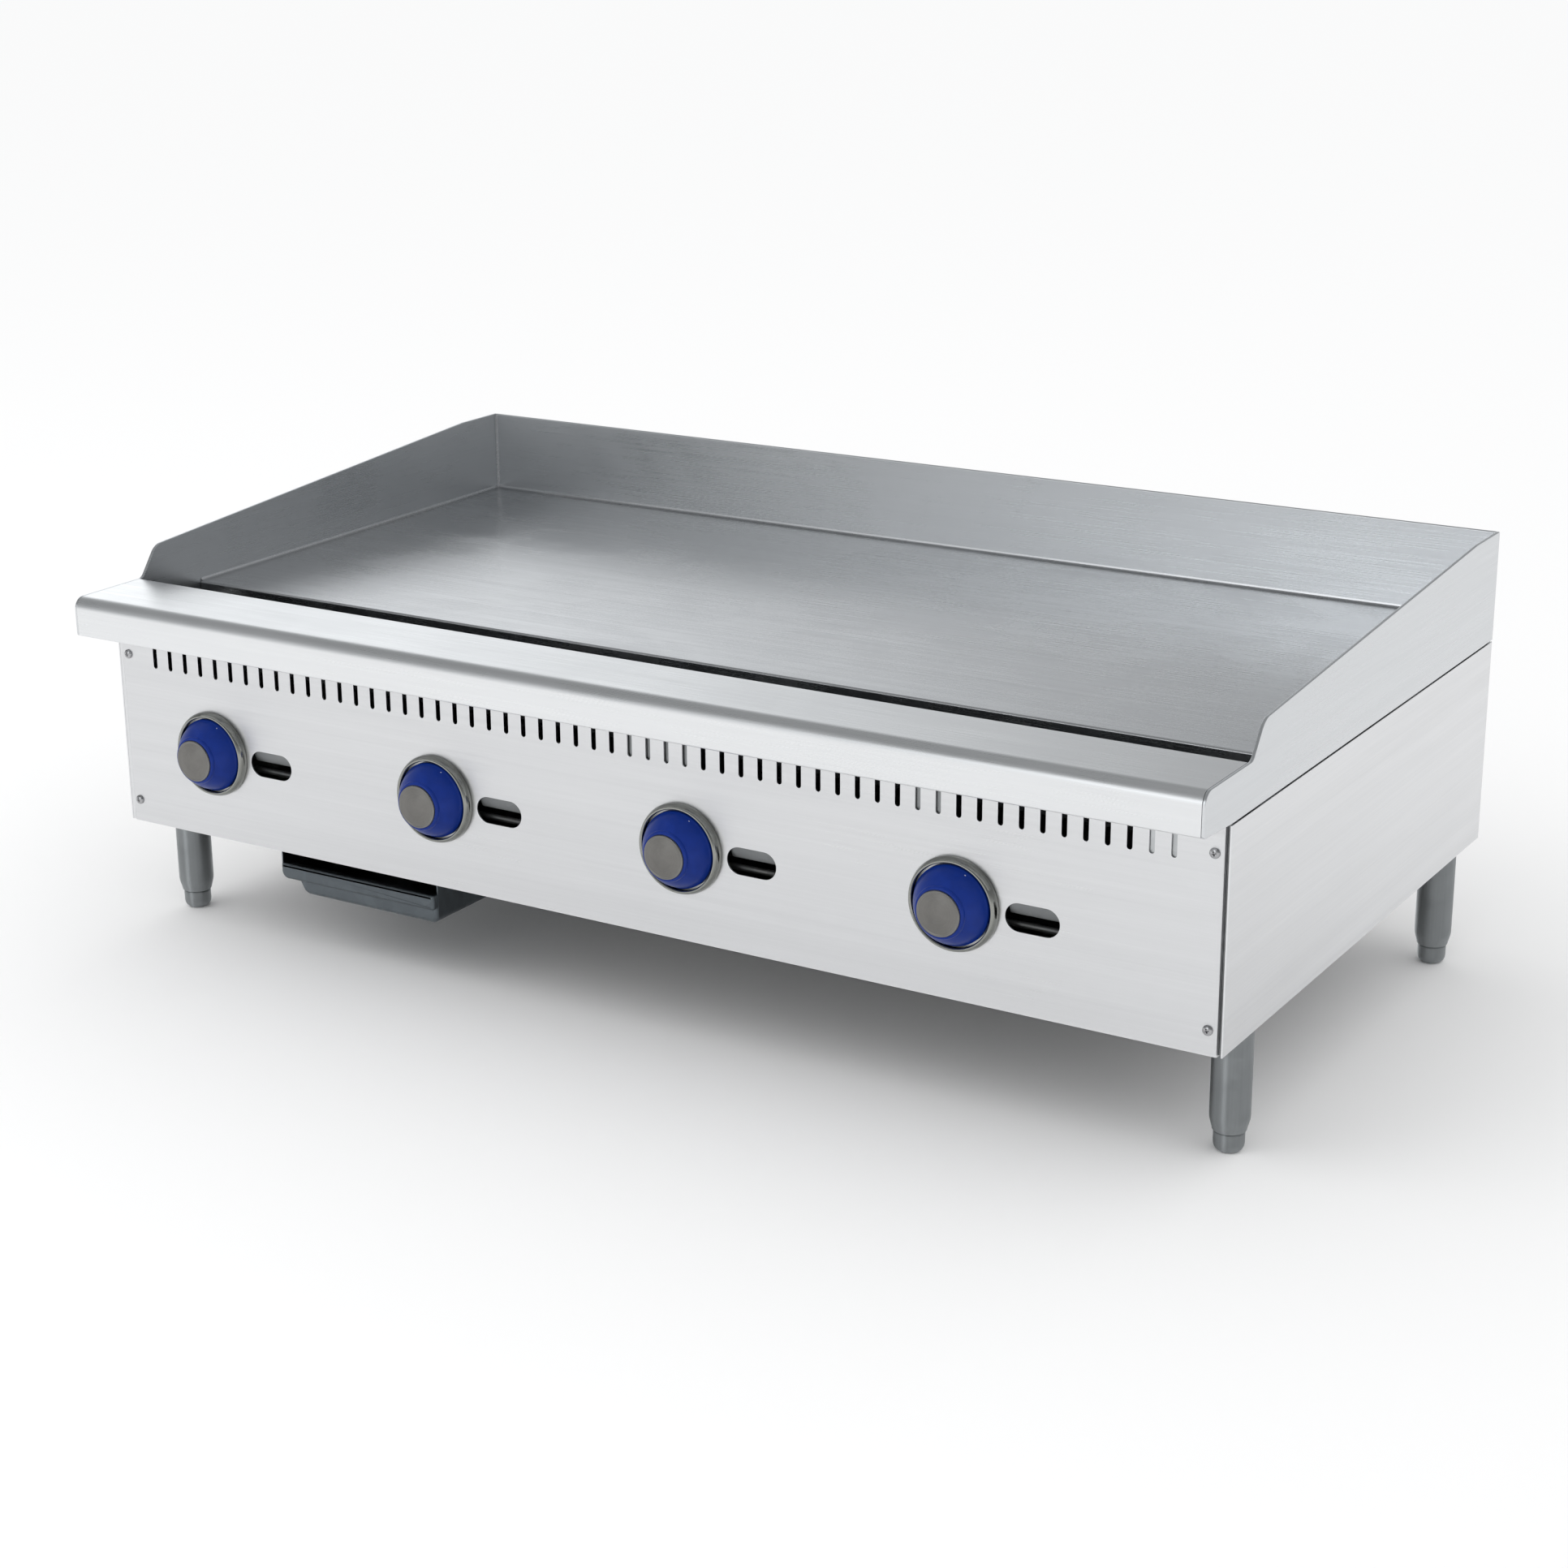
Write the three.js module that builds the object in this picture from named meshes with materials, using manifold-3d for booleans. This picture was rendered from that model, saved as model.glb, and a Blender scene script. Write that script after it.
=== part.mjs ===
// Countertop gas flat top griddle, 48 inch class, four burners.
// Units are millimetres, +Z up. The origin is on the counter, under the middle of the overall box.
// The front faces -Y, so left is -X and right is +X.
import * as THREE from "three";
import { mergeVertices } from "three/addons/utils/BufferGeometryUtils.js";
import Module from "manifold-3d";

// ---------------------------------------------------------------- driving dimensions
const WIDTH = 1219.2; // overall
const HALF_W = WIDTH / 2;
const SHEET = 1.5; // body sheet thickness
const GUARD_T = 3; // splash guard thickness
const GAP = 0.4; // assembly clearance
const INNER_HALF_W = HALF_W - GUARD_T - GAP; // parts fitted between the side guards

const Y_NOSE = -363; // front face of the bullnose rail
const Y_PANEL = -307.5; // front face of the control panel
const Y_TROUGH = -271; // rear edge of the nose rail's top, front of the grease trough
const Y_PLATE = -184.5; // front edge of the plate
const Y_REAR = 337; // rear face of the body
const Y_INLET = 363; // end of the gas inlet pipe

const Z_BODY = 114; // underside of the body, on its legs
const Z_TROUGH = 281; // underside of the grease trough
const Z_SIDE = 318.4; // top edge of the side panels
const Z_GUARD = 320; // lower edge of the splash guards
const Z_NOSE_LOW = 323.5; // underside of the nose rail
const Z_NOSE = 362.5; // top of the nose rail
const NOSE_R = 12; // bullnose radius
const Z_PLATE = 341; // cooking surface
const PLATE_T = 19;
const Z_PLATE_LOW = Z_PLATE - PLATE_T;
const Z_TOP = 429.5; // top of the splash guards

const KNOB_X = [-489, -207, 75, 357]; // control and burner axes
const KNOB_Z = 204;
const BURNER_Z = 230;
const BURNER_R = 19;

const MANIFOLD_Y = -268;
const MANIFOLD_Z = 204;
const MANIFOLD_R = 13.35; // 3/4 inch pipe
const INLET_X = 545; // inlet pipe axis

const LEG_X = 591;
const LEG_Y = [-239, 270];
const LEG_STUD_R = 5.5;
const LEG_HOLE_R = LEG_STUD_R + 1;

const TRAY_X0 = -426, TRAY_X1 = -227;
const TRAY_Y0 = -287, TRAY_Y1 = 150;
const TRAY_Z0 = 65, TRAY_RIM = 108.5;

const CHUTE_X = -323, CHUTE_Y = -226;
const CHUTE_HALF_X = 30, CHUTE_HALF_Y = 22;

// ---------------------------------------------------------------- solids
const wasm = await Module();
wasm.setup();

function solid(geometry) {
  const bare = geometry.clone();
  bare.deleteAttribute("normal");
  bare.deleteAttribute("uv");
  const merged = mergeVertices(bare, 1e-4);
  const mesh = new wasm.Mesh({
    numProp: 3,
    vertProperties: merged.attributes.position.array,
    triVerts: new Uint32Array(merged.index.array),
  });
  return new wasm.Manifold(mesh);
}

function geometryOf(body) {
  const mesh = body.getMesh();
  const positions = new Float32Array(mesh.numVert * 3);
  for (let i = 0; i < mesh.numVert; i++) {
    const start = i * mesh.numProp;
    positions.set(mesh.vertProperties.subarray(start, start + 3), i * 3);
  }
  const geometry = new THREE.BufferGeometry();
  geometry.setAttribute("position", new THREE.BufferAttribute(positions, 3));
  geometry.setIndex(new THREE.BufferAttribute(new Uint32Array(mesh.triVerts), 1));
  geometry.computeVertexNormals();
  return geometry;
}

const join = (...pieces) => geometryOf(pieces.map(solid).reduce((sum, next) => sum.add(next)));
const cut = (piece, ...tools) =>
  geometryOf(tools.map(solid).reduce((rest, tool) => rest.subtract(tool), solid(piece)));

// ---------------------------------------------------------------- outlines
const vectors = (points) => points.map(([x, y]) => new THREE.Vector2(x, y));
const rect = (x0, x1, y0, y1) => [[x0, y0], [x1, y0], [x1, y1], [x0, y1]];

// angles in degrees; gives steps + 1 points
function arc(centreX, centreY, radius, from, to, steps) {
  const points = [];
  for (let i = 0; i <= steps; i++) {
    const angle = ((from + ((to - from) * i) / steps) * Math.PI) / 180;
    points.push([centreX + radius * Math.cos(angle), centreY + radius * Math.sin(angle)]);
  }
  return points;
}

const circle = (centreX, centreY, radius, sides = 16) =>
  arc(centreX, centreY, radius, 0, 360 - 360 / sides, sides - 1);

// slot with round ends, long side along the first axis
function obround(centreX, centreY, length, height, steps) {
  const radius = height / 2;
  const offset = length / 2 - radius;
  return [
    ...arc(centreX + offset, centreY, radius, -90, 90, steps),
    ...arc(centreX - offset, centreY, radius, 90, 270, steps),
  ];
}

// outline on the right (side = 1), or mirrored to the left (side = -1) with its winding kept
const onSide = (points, side) => (side > 0 ? points : points.map(([x, y]) => [-x, y]).reverse());

// an open polyline thickened to its left into a bent sheet
function sheet(line, thickness) {
  const normal = ([ax, ay], [bx, by]) => {
    const length = Math.hypot(bx - ax, by - ay);
    return [-(by - ay) / length, (bx - ax) / length];
  };
  const last = line.length - 1;
  const offset = line.map(([x, y], i) => {
    const before = i > 0 ? normal(line[i - 1], line[i]) : normal(line[0], line[1]);
    const after = i < last ? normal(line[i], line[i + 1]) : before;
    const mitreX = before[0] + after[0];
    const mitreY = before[1] + after[1];
    const scale = 2 / (mitreX * mitreX + mitreY * mitreY);
    return [x + mitreX * scale * thickness, y + mitreY * scale * thickness];
  });
  return [...line, ...offset.reverse()];
}

// ---------------------------------------------------------------- extruded and turned forms
function extrude(points, depth, holes = []) {
  const shape = new THREE.Shape(vectors(points));
  for (const hole of holes) shape.holes.push(new THREE.Path(vectors(hole)));
  return new THREE.ExtrudeGeometry(shape, { depth, bevelEnabled: false, steps: 1 });
}

const basis = (...axes) =>
  new THREE.Matrix4().makeBasis(...axes.map((axis) => new THREE.Vector3(...axis)));
const PROFILE_YZ = basis([0, 1, 0], [0, 0, 1], [1, 0, 0]);
const PROFILE_XZ = basis([1, 0, 0], [0, 0, 1], [0, -1, 0]);
const LATHE_FRONT = basis([1, 0, 0], [0, -1, 0], [0, 0, -1]);

// profile in Y,Z run along X
const alongX = (points, x0, x1) =>
  extrude(points, x1 - x0).translate(0, 0, x0).applyMatrix4(PROFILE_YZ);
// profile in X,Z run along Y
const alongY = (points, y0, y1, holes) =>
  extrude(points, y1 - y0, holes).translate(0, 0, -y1).applyMatrix4(PROFILE_XZ);
// profile in X,Y run along Z
const alongZ = (points, z0, z1, holes) => extrude(points, z1 - z0, holes).translate(0, 0, z0);

const box = (x0, x1, y0, y1, z0, z1) =>
  new THREE.BoxGeometry(x1 - x0, y1 - y0, z1 - z0)
    .translate((x0 + x1) / 2, (y0 + y1) / 2, (z0 + z1) / 2);
const rodX = (y, z, radius, x0, x1) => alongX(circle(y, z, radius), x0, x1);
const rodY = (x, z, radius, y0, y1, sides) => alongY(circle(x, z, radius, sides), y0, y1);

// turned about the Y axis: profile of [radius, distance towards the front]
const turnedY = (profile, sides) =>
  new THREE.LatheGeometry(vectors(profile), sides).applyMatrix4(LATHE_FRONT);
// turned about the Z axis: profile of [radius, height]
const turnedZ = (profile, sides) =>
  new THREE.LatheGeometry(vectors(profile), sides).applyMatrix4(PROFILE_XZ);

// ---------------------------------------------------------------- materials and grouping
const finishes = {
  brushed: { color: 0xc9cbcc, roughness: 0.32, metalness: 1 },
  guard: { color: 0xb4b7ba, roughness: 0.3, metalness: 1 },
  plate: { color: 0x8f9496, roughness: 0.42, metalness: 1 },
  nose: { color: 0xc2c4c6, roughness: 0.28, metalness: 1 },
  leg: { color: 0xb9bcbe, roughness: 0.18, metalness: 1 },
  blue: { color: 0x12309a, roughness: 0.35, metalness: 0 },
  cap: { color: 0x8b8b88, roughness: 0.4, metalness: 1 },
  bezel: { color: 0x8c9090, roughness: 0.2, metalness: 1 },
  galvanised: { color: 0x8a8f90, roughness: 0.5, metalness: 1 },
  cast: { color: 0x4a4c4e, roughness: 0.7, metalness: 1 },
  pipe: { color: 0x303234, roughness: 0.6, metalness: 1 },
  brass: { color: 0xb08d3c, roughness: 0.35, metalness: 1 },
  tube: { color: 0xc0c2c4, roughness: 0.35, metalness: 1 },
};
const materials = Object.fromEntries(
  Object.entries(finishes).map(([name, finish]) => [name, new THREE.MeshStandardMaterial(finish)]),
);

const griddle = new THREE.Group();

function part(name, geometry, material, parent = griddle) {
  const mesh = new THREE.Mesh(geometry, materials[material]);
  mesh.name = name;
  parent.add(mesh);
  return mesh;
}

function groupAt(x, y, z) {
  const group = new THREE.Group();
  group.position.set(x, y, z);
  griddle.add(group);
  return group;
}

// ---------------------------------------------------------------- cooking top
const noseArc = () => arc(Y_NOSE + NOSE_R, Z_NOSE - NOSE_R, NOSE_R, 90, 180, 6);

function addPlate() {
  const chamfer = 1.5;
  const rear = Y_REAR - GUARD_T - GAP;
  const section = [
    [Y_PLATE, Z_PLATE_LOW], [rear, Z_PLATE_LOW], [rear, Z_PLATE],
    [Y_PLATE + chamfer, Z_PLATE], [Y_PLATE, Z_PLATE - chamfer],
  ];
  part("griddle_plate", alongX(section, -INNER_HALF_W, INNER_HALF_W), "plate");
}

function addSplashGuards() {
  const back = box(-INNER_HALF_W, INNER_HALF_W, Y_REAR - GUARD_T, Y_REAR, Z_GUARD, Z_TOP);
  part("back_splash", back, "guard");

  const riseFoot = -268; // Y where the side guard leaves the nose rail
  const riseHead = -242; // Y at the head of the front rise
  const zRise = 392.8; // height at that head
  const level = 271; // the top edge is level behind this Y
  const slopeRun = 9; // the straight slope starts this far behind the head
  const slope = (Z_TOP - zRise) / (level - riseHead);
  const outline = [
    [Y_REAR, Z_GUARD],
    [Y_REAR, Z_TOP],
    [level, Z_TOP],
    [riseHead + slopeRun, zRise + slopeRun * slope],
    [riseHead + 4, zRise - 0.9],
    [riseHead - 2, zRise - 5],
    [riseHead - 6, zRise - 10.5],
    [riseFoot, Z_NOSE],
    ...noseArc(),
    [Y_NOSE, Z_NOSE_LOW],
    [Y_PANEL, Z_GUARD],
  ];
  part("right_splash", alongX(outline, HALF_W - GUARD_T, HALF_W), "guard");
  part("left_splash", alongX(outline, -HALF_W, -HALF_W + GUARD_T), "guard");
}

// bullnose rail across the front
function addNoseRail() {
  const corner = 1.5;
  const outerFace = [
    [Y_TROUGH, Z_NOSE - 24],
    [Y_TROUGH, Z_NOSE - 2],
    [Y_TROUGH - 2, Z_NOSE],
    ...noseArc(),
    [Y_NOSE, Z_NOSE_LOW + corner],
    [Y_NOSE + corner, Z_NOSE_LOW],
    [Y_PANEL - 1, Z_NOSE_LOW],
  ];
  part("front_nose_rail", alongX(sheet(outerFace, SHEET), -INNER_HALF_W, INNER_HALF_W), "nose");
}

// ---------------------------------------------------------------- grease trough and chute
// x0, x1, y0, y1 of a rectangle that exceeds the chute by a margin on each side
const chuteSpan = (margin) => [
  CHUTE_X - CHUTE_HALF_X - margin, CHUTE_X + CHUTE_HALF_X + margin,
  CHUTE_Y - CHUTE_HALF_Y - margin, CHUTE_Y + CHUTE_HALF_Y + margin,
];

function addTrough() {
  const front = Y_TROUGH + 2;
  const rear = Y_PLATE + 8;
  const half = HALF_W - GUARD_T - 1.2;
  const inset = 0.2; // end walls sit inside the channel's outer faces
  const outerFace = [
    [front, Z_NOSE - 13], [front, Z_TROUGH], [rear, Z_TROUGH], [rear, Z_PLATE_LOW - GAP],
  ];
  const channel = alongX(sheet(outerFace, SHEET), -half, half);
  const ends = [-half, half - SHEET].map((x) =>
    box(x, x + SHEET, front + inset, rear - inset, Z_TROUGH + inset, Z_PLATE_LOW - 3));
  const opening = box(...chuteSpan(-4), Z_TROUGH - 5, Z_TROUGH + 10);
  part("grease_trough", cut(join(channel, ...ends), opening), "galvanised");
}

function addChute() {
  const top = Z_TROUGH - GAP;
  const tube = alongZ(rect(...chuteSpan(0)), TRAY_RIM + 1.2, top, [rect(...chuteSpan(-SHEET))]);
  const flange = alongZ(rect(...chuteSpan(8)), top - SHEET, top, [rect(...chuteSpan(-1))]);
  part("grease_chute", join(tube, flange), "galvanised");
}

// ---------------------------------------------------------------- control panel
const SCREW_PLACES = [-596, 596].flatMap((x) => [137, 293].map((z) => [x, z]));

// cooling slots, valve stem holes, pilot sight slots and screw holes
function panelOpenings(y0, y1, sight) {
  const slot = { count: 57, pitch: 20, width: 5, z0: 282.5, z1: 312 };
  const openings = [];
  for (let i = 0; i < slot.count; i++) {
    const x = (i - (slot.count - 1) / 2) * slot.pitch;
    openings.push(box(x - slot.width / 2, x + slot.width / 2, y0, y1, slot.z0, slot.z1));
  }
  for (const x of KNOB_X) {
    openings.push(rodY(x, KNOB_Z, 6, y0, y1, 12));
    const outline = obround(x + sight.offset, sight.z, sight.width, sight.height, 6);
    openings.push(alongY(outline, y0, y1));
  }
  for (const [x, z] of SCREW_PLACES) openings.push(rodY(x, z, 2.4, y0, y1, 8));
  return openings;
}

function addPanel() {
  const back = Y_PANEL + SHEET;
  const half = HALF_W - 5; // the bent ends stop short of the side panels' outer faces
  const top = 345;
  const sight = { offset: 75, z: 202.5, width: 52, height: 26 }; // offset in X from the knob
  const face = cut(
    box(-half + 1, half - 1, Y_PANEL, back, Z_BODY, top),
    ...panelOpenings(Y_PANEL - 1, back + 1, sight),
  );

  // ends bent back: [distance in from the end, distance behind the panel's face]
  const bend = [
    [3, 0], [1.6, 0], [0.5, 0.5], [0, 1.6], [0, 13],
    [SHEET, 13], [SHEET, 2.4], [2.4, SHEET], [3, SHEET],
  ].map(([inset, depth]) => [half - inset, Y_PANEL + depth]);
  const ends = [1, -1].map((side) => alongZ(onSide(bend, side), Z_BODY, top));

  const flangeHalf = HALF_W - 54;
  const bottom = box(
    -flangeHalf, flangeHalf, Y_PANEL + 0.5, Y_PANEL + 20, Z_BODY, Z_BODY + SHEET,
  );

  // a tab bent inwards above each sight slot, hanging behind it
  const sightTop = sight.z + sight.height / 2;
  const tab = [
    [back - 0.5, sightTop + 2.5], [back + 0.6, sightTop + 2.5], [back + 6.6, sightTop - 11.9],
    [back + 5.7, sightTop - 12.5], [back - 0.5, sightTop + 0.6],
  ];
  const tabs = KNOB_X.map((x) => alongX(tab, x + sight.offset - 24, x + sight.offset + 24));
  part("front_panel", join(face, ...ends, bottom, ...tabs), "brushed");
}

function addPanelScrews() {
  const screw = turnedY(
    [[0, -9], [2, -9], [2, 0.35], [4.8, 0.35], [4.8, 1.2], [3.9, 2.5], [2, 3.1], [0, 3.1]],
    12,
  );
  SCREW_PLACES.forEach(([x, z], i) => {
    part("panel_screw_" + (i + 1), screw, "leg").position.set(x, Y_PANEL, z);
  });
}

// ---------------------------------------------------------------- casing
function addSidePanel(name, side) {
  const front = Y_PANEL + 0.6;
  const frontFlange = Y_PANEL + 15;
  const rearFlange = Y_REAR - 3.6;
  const flange = 20; // reach of the flanges in from the outer face
  // [distance in from the outer face, Y]
  const section = [
    [0, front], [0, Y_REAR], [SHEET, Y_REAR], [SHEET, rearFlange],
    [flange, rearFlange], [flange, rearFlange - SHEET], [SHEET, rearFlange - SHEET],
    [SHEET, frontFlange + SHEET], [flange, frontFlange + SHEET],
    [flange, frontFlange], [SHEET, frontFlange], [SHEET, front],
  ].map(([inset, y]) => [HALF_W - inset, y]);
  const shell = alongZ(onSide(section, side), Z_BODY, Z_SIDE);

  const floorOutline = rect(HALF_W - 52, HALF_W - 0.5, frontFlange + 0.5, Y_REAR - 4);
  const studHoles = LEG_Y.map((y) => circle(side * LEG_X, y, LEG_HOLE_R, 12));
  const floor = alongZ(onSide(floorOutline, side), Z_BODY, Z_BODY + SHEET, studHoles);
  part(name, join(shell, floor), "brushed");
}

function addRearPanel() {
  const half = HALF_W - 2;
  const slot = { count: 10, pitch: 110, width: 84, height: 12, z: 301 };
  const holes = [circle(INLET_X, MANIFOLD_Z, 16)];
  for (let i = 0; i < slot.count; i++) {
    const x = (i - (slot.count - 1) / 2) * slot.pitch;
    holes.push(obround(x, slot.z, slot.width, slot.height, 3));
  }
  const outline = rect(-half, half, Z_BODY + 2, Z_SIDE);
  part("rear_panel", alongY(outline, Y_REAR - SHEET, Y_REAR, holes), "galvanised");
}

function addBottomPanel() {
  const half = HALF_W - 3;
  const z0 = Z_BODY + 1.9;
  const z1 = z0 + SHEET;
  const cutZ = [z0 - 5, z1 + 5];
  const tools = KNOB_X.map((x) => box(x - 75, x + 75, -120, 250, ...cutZ));
  for (const x of [-LEG_X, LEG_X]) {
    for (const y of LEG_Y) tools.push(alongZ(circle(x, y, LEG_HOLE_R, 12), ...cutZ));
  }
  tools.push(box(...chuteSpan(4), ...cutZ));
  const panel = box(-half, half, Y_PANEL + 22, Y_REAR - 6, z0, z1);
  part("bottom_panel", cut(panel, ...tools), "galvanised");
}

// upright sheet behind the controls, pierced by the burners and the inlet pipe
function addHeatShield() {
  const half = HALF_W - 4;
  const y = -178;
  const cutY = [-190, -160];
  const passages = [
    ...KNOB_X.map((x) => rodY(x, BURNER_Z, 25.5, ...cutY)),
    rodY(INLET_X, MANIFOLD_Z, 18, ...cutY),
  ];
  const shield = box(-half, half, y, y + SHEET, Z_BODY + 4, Z_TROUGH - 4);
  part("heat_shield", cut(shield, ...passages), "galvanised");
}

// ---------------------------------------------------------------- burners and their rails
function addBurners() {
  // closed at the rear, necked and flared to an open mouth at the front
  const profile = [
    [0, -300], [BURNER_R - 3, -300], [BURNER_R, -297], [BURNER_R, 130], [14, 172], [14, 192],
    [23, 222], [23, 232], [21, 232], [21, 223], [12.5, 192], [12.5, 150], [0, 150],
  ];
  const burner = turnedY(profile, 16);
  KNOB_X.forEach((x, i) => {
    part("burner_" + (i + 1), burner, "cast").position.set(x, 0, BURNER_Z);
  });
}

// upright web with a round cradle under each burner, and a foot flange
function addBurnerRail(name, y) {
  const half = HALF_W - 4;
  const foot = Z_BODY + 4;
  const drop = 12; // top of the web below the burner axis
  const top = BURNER_Z - drop;
  const radius = BURNER_R + GAP;
  const edgeAngle = (Math.asin(drop / radius) * 180) / Math.PI;
  const cradles = [...KNOB_X].reverse()
    .flatMap((x) => arc(x, BURNER_Z, radius, -edgeAngle, -180 + edgeAngle, 8));
  const web = [[-half, foot], [half, foot], [half, top], ...cradles, [-half, top]];
  const rail = join(
    alongY(web, y, y + SHEET),
    box(-half, half, y + 0.5, y + 16, foot, foot + SHEET),
  );
  const pipeHole = rodY(INLET_X, MANIFOLD_Z, 15.5, y - 5, y + 25);
  part(name, cut(rail, pipeHole), "galvanised");
}

// ---------------------------------------------------------------- gas train
function addSupplyPipes() {
  const elbowX = 522; // left end of the elbow's socket
  const socketR = 18;
  const manifold = rodX(MANIFOLD_Y, MANIFOLD_Z, MANIFOLD_R, -570, elbowX - GAP);
  part("gas_manifold", manifold, "pipe");

  const inlet = join(
    new THREE.SphereGeometry(19, 16, 8).translate(INLET_X, MANIFOLD_Y, MANIFOLD_Z),
    rodX(MANIFOLD_Y, MANIFOLD_Z, socketR, elbowX, INLET_X),
    rodY(INLET_X, MANIFOLD_Z, socketR, MANIFOLD_Y, -244),
    rodY(INLET_X, MANIFOLD_Z, MANIFOLD_R, MANIFOLD_Y, Y_INLET),
  );
  const bore = rodY(INLET_X, MANIFOLD_Z, 10, Y_INLET - 40, Y_INLET + 5);
  part("gas_inlet_pipe", cut(inlet, bore), "pipe");
}

// X and Z are measured from the knob axis, Y from the origin
function addValves() {
  const front = -303;
  const burnerRise = BURNER_Z - KNOB_Z;
  const valve = join(
    rodY(0, 0, 12, front, -288, 12),
    rodY(0, 0, 7, -288.5, MANIFOLD_Y - MANIFOLD_R - GAP, 12),
    box(-7, 7, -297, -287, 4, burnerRise + 7),
    rodY(0, burnerRise, 6, -292, -240, 12),
    rodY(0, burnerRise, 8.6, -262, -247, 6),
  );
  const stem = rodY(0, 0, 4, -332, front - GAP, 12);
  const pilotPath = new THREE.CatmullRomCurve3([
    new THREE.Vector3(38, MANIFOLD_Y, MANIFOLD_R + GAP),
    new THREE.Vector3(38, MANIFOLD_Y, MANIFOLD_R + 12),
    new THREE.Vector3(38, MANIFOLD_Y + 14, 30),
    new THREE.Vector3(38, -215, 36),
    new THREE.Vector3(34, -186, 40),
  ]);
  const pilotTube = new THREE.ExtrudeGeometry(
    new THREE.Shape(vectors(circle(0, 0, 3.2, 8))),
    { steps: 12, bevelEnabled: false, extrudePath: pilotPath },
  );
  KNOB_X.forEach((x, i) => {
    const group = groupAt(x, 0, KNOB_Z);
    part("gas_valve_" + (i + 1), valve, "brass", group);
    part("valve_stem_" + (i + 1), stem, "brass", group);
    part("pilot_tube_" + (i + 1), pilotTube, "tube", group);
  });
}

// ---------------------------------------------------------------- knobs and bezels
// distances are from the panel's face, towards the front
function addKnobs() {
  const bezelR = 43.5;
  const knobR = 37;
  const frontR = 23.5; // knob radius at its front face
  const back = 1.2;
  const front = back + 28;
  const bore = knobR + 1.6;
  const capR = frontR - 2.5;
  const bezel = turnedY([
    [bore, 0.3], [bezelR, 0.3], [bezelR, 4], [bezelR - 2.6, 8],
    [bore + 1, 8.6], [bore, 7.6], [bore, 0.3],
  ], 24);
  // the first three points form the socket for the valve stem
  const knob = turnedY([
    [0, 26], [4.4, 26], [4.4, back], [knobR, back], [knobR, 6], [knobR - 1.5, 8.5],
    [frontR + 1.6, front - 3], [frontR, front - 0.6], [frontR - 1.2, front], [0, front],
  ], 24);
  const cap = turnedY([
    [0, front + GAP], [capR, front + GAP], [capR, front + 1.2],
    [capR - 1, front + 2], [0, front + 2],
  ], 24);
  KNOB_X.forEach((x, i) => {
    const group = groupAt(x, Y_PANEL, KNOB_Z);
    part("bezel_" + (i + 1), bezel, "bezel", group);
    part("knob_" + (i + 1), knob, "blue", group);
    part("knob_cap_" + (i + 1), cap, "cap", group);
  });
}

// ---------------------------------------------------------------- drip tray and its rails
function addTray() {
  const left = TRAY_X0, right = TRAY_X1, base = TRAY_Z0;
  const rimLow = TRAY_RIM - SHEET;
  const rimReach = 7;
  // [X, Z] across the tray, left to right; the lower left is stepped in
  const outer = [
    [left, 84], [left + 4, 80], [left + 20, 78], [left + 23, 74],
    [left + 26, 68], [left + 34, base], [right - 3, base], [right, base + 3],
  ];
  // [X, Z] of the inside, right to left
  const inner = [
    [right - SHEET, TRAY_RIM], [right - SHEET, base + 3.4], [right - 3.4, base + SHEET],
    [left + 34.6, base + SHEET], [left + 27.2, 69], [left + 24.4, 75],
    [left + 21, 79.4], [left + 4.8, 81.4], [left + SHEET, 84.6], [left + SHEET, TRAY_RIM],
  ];
  const section = [
    [left - rimReach, rimLow], [left, rimLow], ...outer, [right, rimLow],
    [right + rimReach, rimLow], [right + rimReach, TRAY_RIM], ...inner,
    [left - rimReach, TRAY_RIM],
  ];
  const wall = (top, y) => alongY([[left + 0.5, top], ...outer, [right, top]], y, y + SHEET);
  // [distance behind the tray's front face, Z] of the curled front lip, top to bottom
  const lipLine = [
    [1, 96], [-4, 95.4], [-7, 93], [-8, 89.5], [-7.4, 86], [-4.5, 83], [1, 81.5],
  ].map(([offset, z]) => [TRAY_Y0 + offset, z]);
  const tray = join(
    alongY(section, TRAY_Y0, TRAY_Y1),
    wall(94, TRAY_Y0),
    wall(TRAY_RIM - 1, TRAY_Y1 - SHEET),
    alongX(sheet(lipLine, SHEET), left + 1.5, right - 1),
  );
  part("drip_tray", tray, "galvanised");
}

// hangs under the floor and catches the tray's rim
function addTrayRail(name, side) {
  const x = side < 0 ? TRAY_X0 - 9.2 : TRAY_X1 + 9.2;
  const ledge = TRAY_RIM - 4;
  const line = [[x + side * 16, Z_BODY], [x, Z_BODY], [x, ledge], [x - side * 6, ledge]];
  if (side > 0) line.reverse(); // keeps the thickness on the tray side
  part(name, alongY(sheet(line, SHEET), -285, 170), "galvanised");
}

// ---------------------------------------------------------------- legs and levelling feet
function addLegs() {
  const top = Z_BODY - GAP;
  const legR = 18;
  const footR = 14.5;
  const leg = turnedZ([
    [0, 70], [6.4, 70], [6.4, 17.5], [15, 17.5], [15.4, 19], [legR, 29], [legR, top - 1],
    [legR - 1, top], [LEG_STUD_R, top], [LEG_STUD_R, top + 14], [0, top + 14],
  ], 20);
  const foot = turnedZ([
    [0, 0], [9.5, 0], [12.5, 1.4], [footR, 4.5], [footR, 14],
    [12.5, 17], [5.9, 17], [5.9, 66], [0, 66],
  ], 16);
  for (const [sideName, x] of [["left", -LEG_X], ["right", LEG_X]]) {
    LEG_Y.forEach((y, i) => {
      const place = ["front", "rear"][i] + "_" + sideName;
      const group = groupAt(x, y, 0);
      part("leg_" + place, leg, "leg", group);
      part("foot_" + place, foot, "leg", group);
    });
  }
}

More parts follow.
